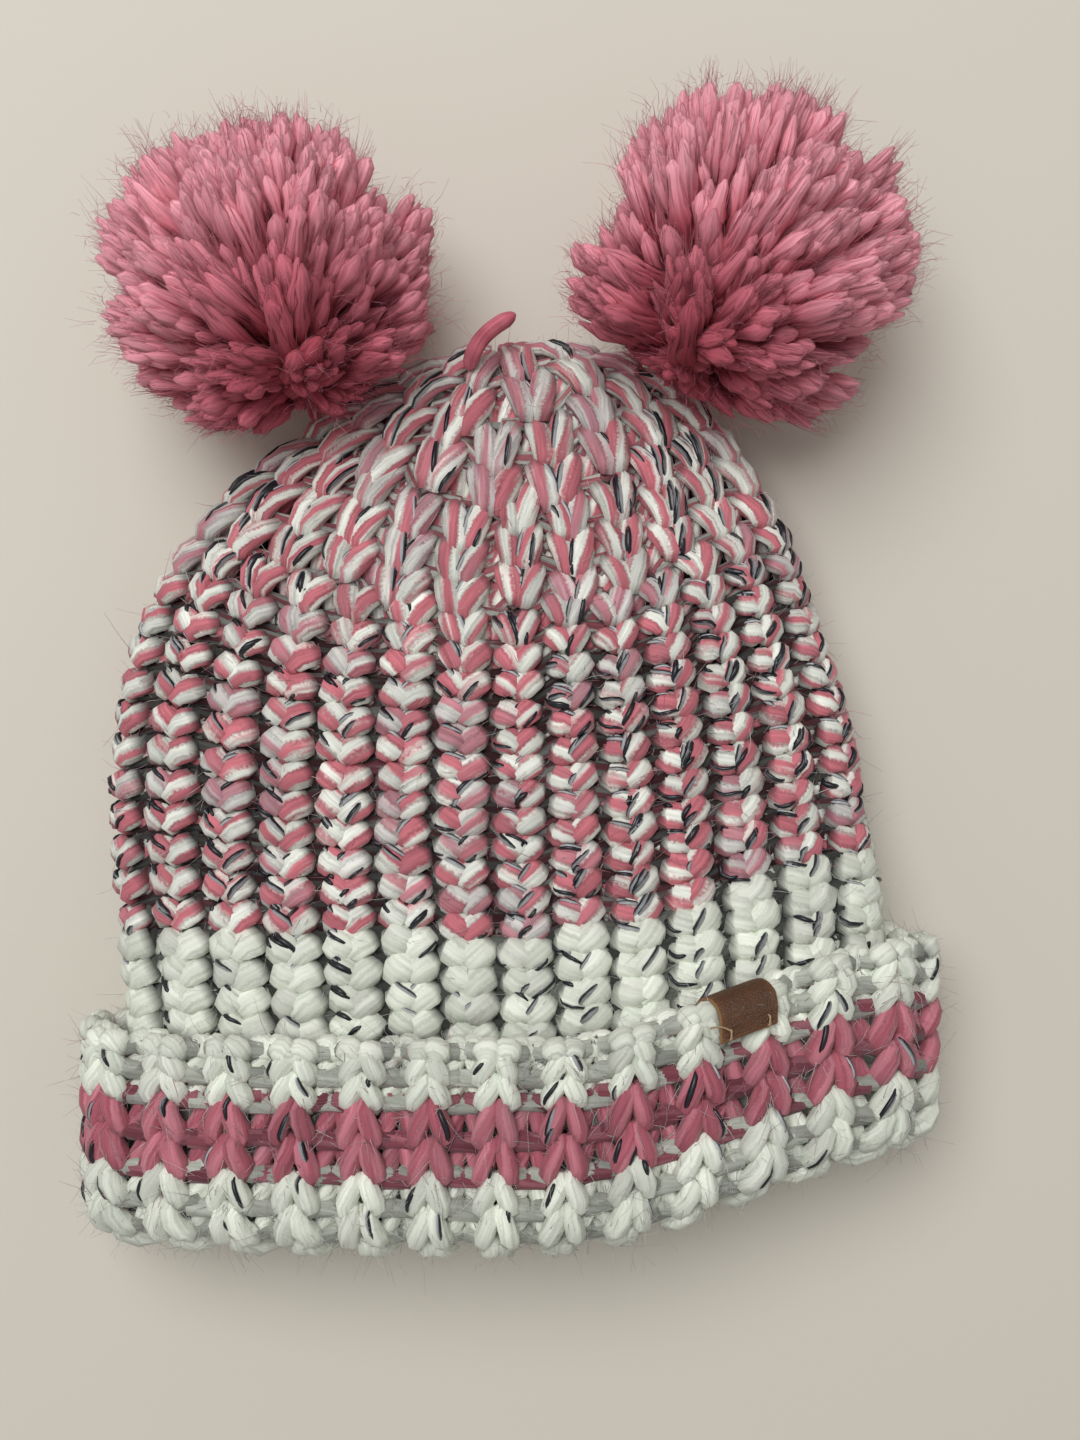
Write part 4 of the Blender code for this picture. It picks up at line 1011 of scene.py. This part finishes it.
def tagPath():
    # section of the tab: down the front, a half circle over the edge, down the back; (row, out) points
    half = tag["thickness"] / 2.0
    front = tube["cuffOffset"] + tag["crest"] + tag["clearance"] + half
    back = tube["cuffOffset"] - tag["inside"] - tag["clearance"] - half
    middle, reach = (front + back) / 2.0, (front - back) / 2.0
    rim = tube["cuffTopY"] - tag["inside"] + tag["clearance"]
    angle = np.radians(np.linspace(0.0, 180.0, 31))
    down = np.linspace(rim + reach - tag["frontLength"], rim, 14, endpoint=False)
    up = np.linspace(rim, rim + reach - tag["backLength"], 13)[1:]
    row = np.concatenate([down, rim + reach * np.sin(angle), up])
    out = np.concatenate([np.full(14, front), middle + reach * np.cos(angle), np.full(12, back)])
    return row, out


def leatherMaterial():
    # pores and creases from cells and noise; tint red is the paler cut edge, blue the wear
    material, tree, shader = newMaterial("brown leather")
    tint = tree.nodes.new("ShaderNodeAttribute")
    tint.attribute_name = "tint"
    parts = tree.nodes.new("ShaderNodeSeparateColor")
    link(tree, tint.outputs["Color"], parts.inputs[0])
    where = tree.nodes.new("ShaderNodeTexCoord")
    cells = tree.nodes.new("ShaderNodeTexVoronoi")
    cells.feature = "DISTANCE_TO_EDGE"
    cells.inputs["Scale"].default_value = 1500.0
    mottle = tree.nodes.new("ShaderNodeTexNoise")
    mottle.inputs["Scale"].default_value = 420.0
    mottle.inputs["Detail"].default_value = 5.0
    link(tree, where.outputs["Object"], cells.inputs["Vector"])
    link(tree, where.outputs["Object"], mottle.inputs["Vector"])
    base = mixColour(tree, (0.042, 0.014, 0.004), (0.125, 0.046, 0.012), mottle.outputs["Fac"])
    base = mixColour(tree, base, (0.16, 0.064, 0.020), parts.outputs[2])
    base = mixColour(tree, base, (0.30, 0.16, 0.065), parts.outputs[0])
    link(tree, base, shader.inputs["Base Color"])
    rough = sums(tree, "MULTIPLY_ADD", mottle.outputs["Fac"], 0.35)
    rough.node.inputs[2].default_value = 0.35
    link(tree, rough, shader.inputs["Roughness"])
    creases = sums(tree, "MINIMUM", sums(tree, "MULTIPLY", cells.outputs["Distance"], 4.0), 1.0)
    bump = tree.nodes.new("ShaderNodeBump")
    bump.inputs["Strength"].default_value = 0.5
    bump.inputs["Distance"].default_value = 0.0002
    link(tree, sums(tree, "ADD", creases, mottle.outputs["Fac"]), bump.inputs["Height"])
    link(tree, bump.outputs[0], shader.inputs["Normal"])
    return material


def addTag():
    # a sheet with rounded edges: at each place of the section a flat ring, thinner at both its sides
    row, out = tagPath()
    chance = np.random.default_rng(tag["seed"])
    rings = len(row)
    tangent = unit(np.stack([np.gradient(row), np.gradient(out)], axis=1))
    inner = np.linspace(-0.86, 0.86, 21)
    places, heights = np.array(tag["edgePlaces"]), np.array(tag["edges"])
    w = np.concatenate([-places, inner, places[::-1]])
    h = np.concatenate([heights, np.ones(len(inner)), heights[::-1]])
    w, h = np.concatenate([w, w[-2:0:-1]]), np.concatenate([h, -h[-2:0:-1]])
    sides = len(w)
    ends = np.minimum(np.arange(rings), np.arange(rings)[::-1])
    thin = np.interp(ends, (0, 1, 2), (0.72, 0.97, 1.0))[:, None]
    ripple = tag["ripple"] * (smoothNoise(chance, rings, sides, 6) - 0.5) * 2.0
    offset = h * thin * tag["thickness"] / 2.0 + ripple
    x = tag["x"] + w * tag["width"] / 2.0 * (1.0 - 0.02 * (1.0 - thin))
    points = fabricPoint(cuffTurn(x), row[:, None] - tangent[:, 1:] * offset, out[:, None] + tangent[:, :1] * offset)
    tint = np.zeros((rings, sides, 3))
    tint[..., 0] = np.maximum(np.abs(w) > 0.98, ends[:, None] < 1) * 0.9
    tint[..., 2] = 0.6 * smoothStep(np.abs(w), 0.75, 1.0) + 0.5 * smoothStep(5.0 - ends[:, None], 0.0, 5.0)
    faces = gridFaces(1, rings, sides, False)
    place(addMesh("leather_tab", points, faces, leatherMaterial(), tint), "hat", "leather", "leather_tag")


def addStitch(side, sign):
    # one stitch: out through the leather, a short run on its face, back through; the left has a loose end
    row, out = tagPath()
    face, rear = out[0] + tag["thickness"] / 2.0, out[-1] - tag["thickness"] / 2.0
    turn = cuffTurn(tag["x"] + sign * (tag["width"] / 2.0 - tag["stitchInset"]))
    middle, half, thick = tube["cuffTopY"] - tag["stitchRow"], tag["stitchHalf"], tag["threadRadius"]
    rows = middle + half * np.array([1.0, 1.0, 1.0, 0.75, 0.0, -0.75, -1.0, -1.0, -1.0])
    outs = np.array([rear - thick, (rear + face) / 2.0, face - thick, face + thick * 0.6, face + thick * 0.8,
                     face + thick * 0.6, face - thick, (rear + face) / 2.0, rear - thick])
    t, fine = np.arange(9), np.linspace(0.0, 8.0, 49)
    run = fabricPoint(turn, np.interp(fine, t, rows), np.interp(fine, t, outs))
    runs = [(run, thick, 2)]
    if side == "left":
        start, step = run[18], np.linspace(0.0, 1.0, 16)[:, None]
        loose = start + step * (-0.0052, 0.0006, 0.0004) + np.sin(step * math.pi) * (0.0, 0.0008, 0.0006)
        runs.append((loose, thick * 0.7, 2))
    addYarns(f"tag_thread_{side}", runs, threadYarn, "hat", "thread", f"tag_stitch_{side}")


addTag()
addStitch("left", -1.0)
addStitch("right", 1.0)
print("leather tab done")

# Floor, light and camera
stage = {"floorSize": 3.0, "floorColour": (0.70, 0.66, 0.58), "camera": (0.0083, -0.0098, 0.4200),
         "lens": 38.6, "keyPower": 13.4,"keySize": 1.0, "keyPlace": (-0.30, 0.50, 1.3), "worldStrength": 0.35}


def makeStage():
    half = stage["floorSize"] / 2.0
    mesh = bpy.data.meshes.new("floor")
    corners = [(-half, -half, -0.0004), (half, -half, -0.0004), (half, half, -0.0004), (-half, half, -0.0004)]
    mesh.from_pydata(corners, [], [(0, 1, 2, 3)])
    floor = bpy.data.objects.new("floor", mesh)
    bpy.context.scene.collection.objects.link(floor)
    material, tree, shader = newMaterial("pale floor")
    shader.inputs["Base Color"].default_value = (*stage["floorColour"], 1.0)
    shader.inputs["Roughness"].default_value = 0.8
    mesh.materials.append(material)

    lamp = bpy.data.lights.new("overhead", "AREA")
    lamp.shape = "DISK"
    lamp.size = stage["keySize"]
    lamp.energy = stage["keyPower"]
    overhead = bpy.data.objects.new("overhead", lamp)
    overhead.location = stage["keyPlace"]
    toward = np.array(stage["keyPlace"]) * -1.0
    overhead.rotation_euler = (math.atan2(math.hypot(*toward[:2]), -toward[2]), 0.0, math.atan2(-toward[0], toward[1]))
    bpy.context.scene.collection.objects.link(overhead)
    world = bpy.data.worlds.new("room")
    world.use_nodes = True
    world.node_tree.nodes["Background"].inputs[0].default_value = (1.0, 0.98, 0.95, 1.0)
    world.node_tree.nodes["Background"].inputs[1].default_value = stage["worldStrength"]
    bpy.context.scene.world = world

    view = bpy.data.cameras.new("overhead camera")
    view.sensor_width = 36.0
    view.lens = stage["lens"]
    view.clip_start = 0.01
    camera = bpy.data.objects.new("overhead camera", view)
    camera.location = stage["camera"]
    bpy.context.scene.collection.objects.link(camera)
    bpy.context.scene.camera = camera
    bpy.context.scene.view_settings.view_transform = "Standard"


makeStage()
print("stage done")
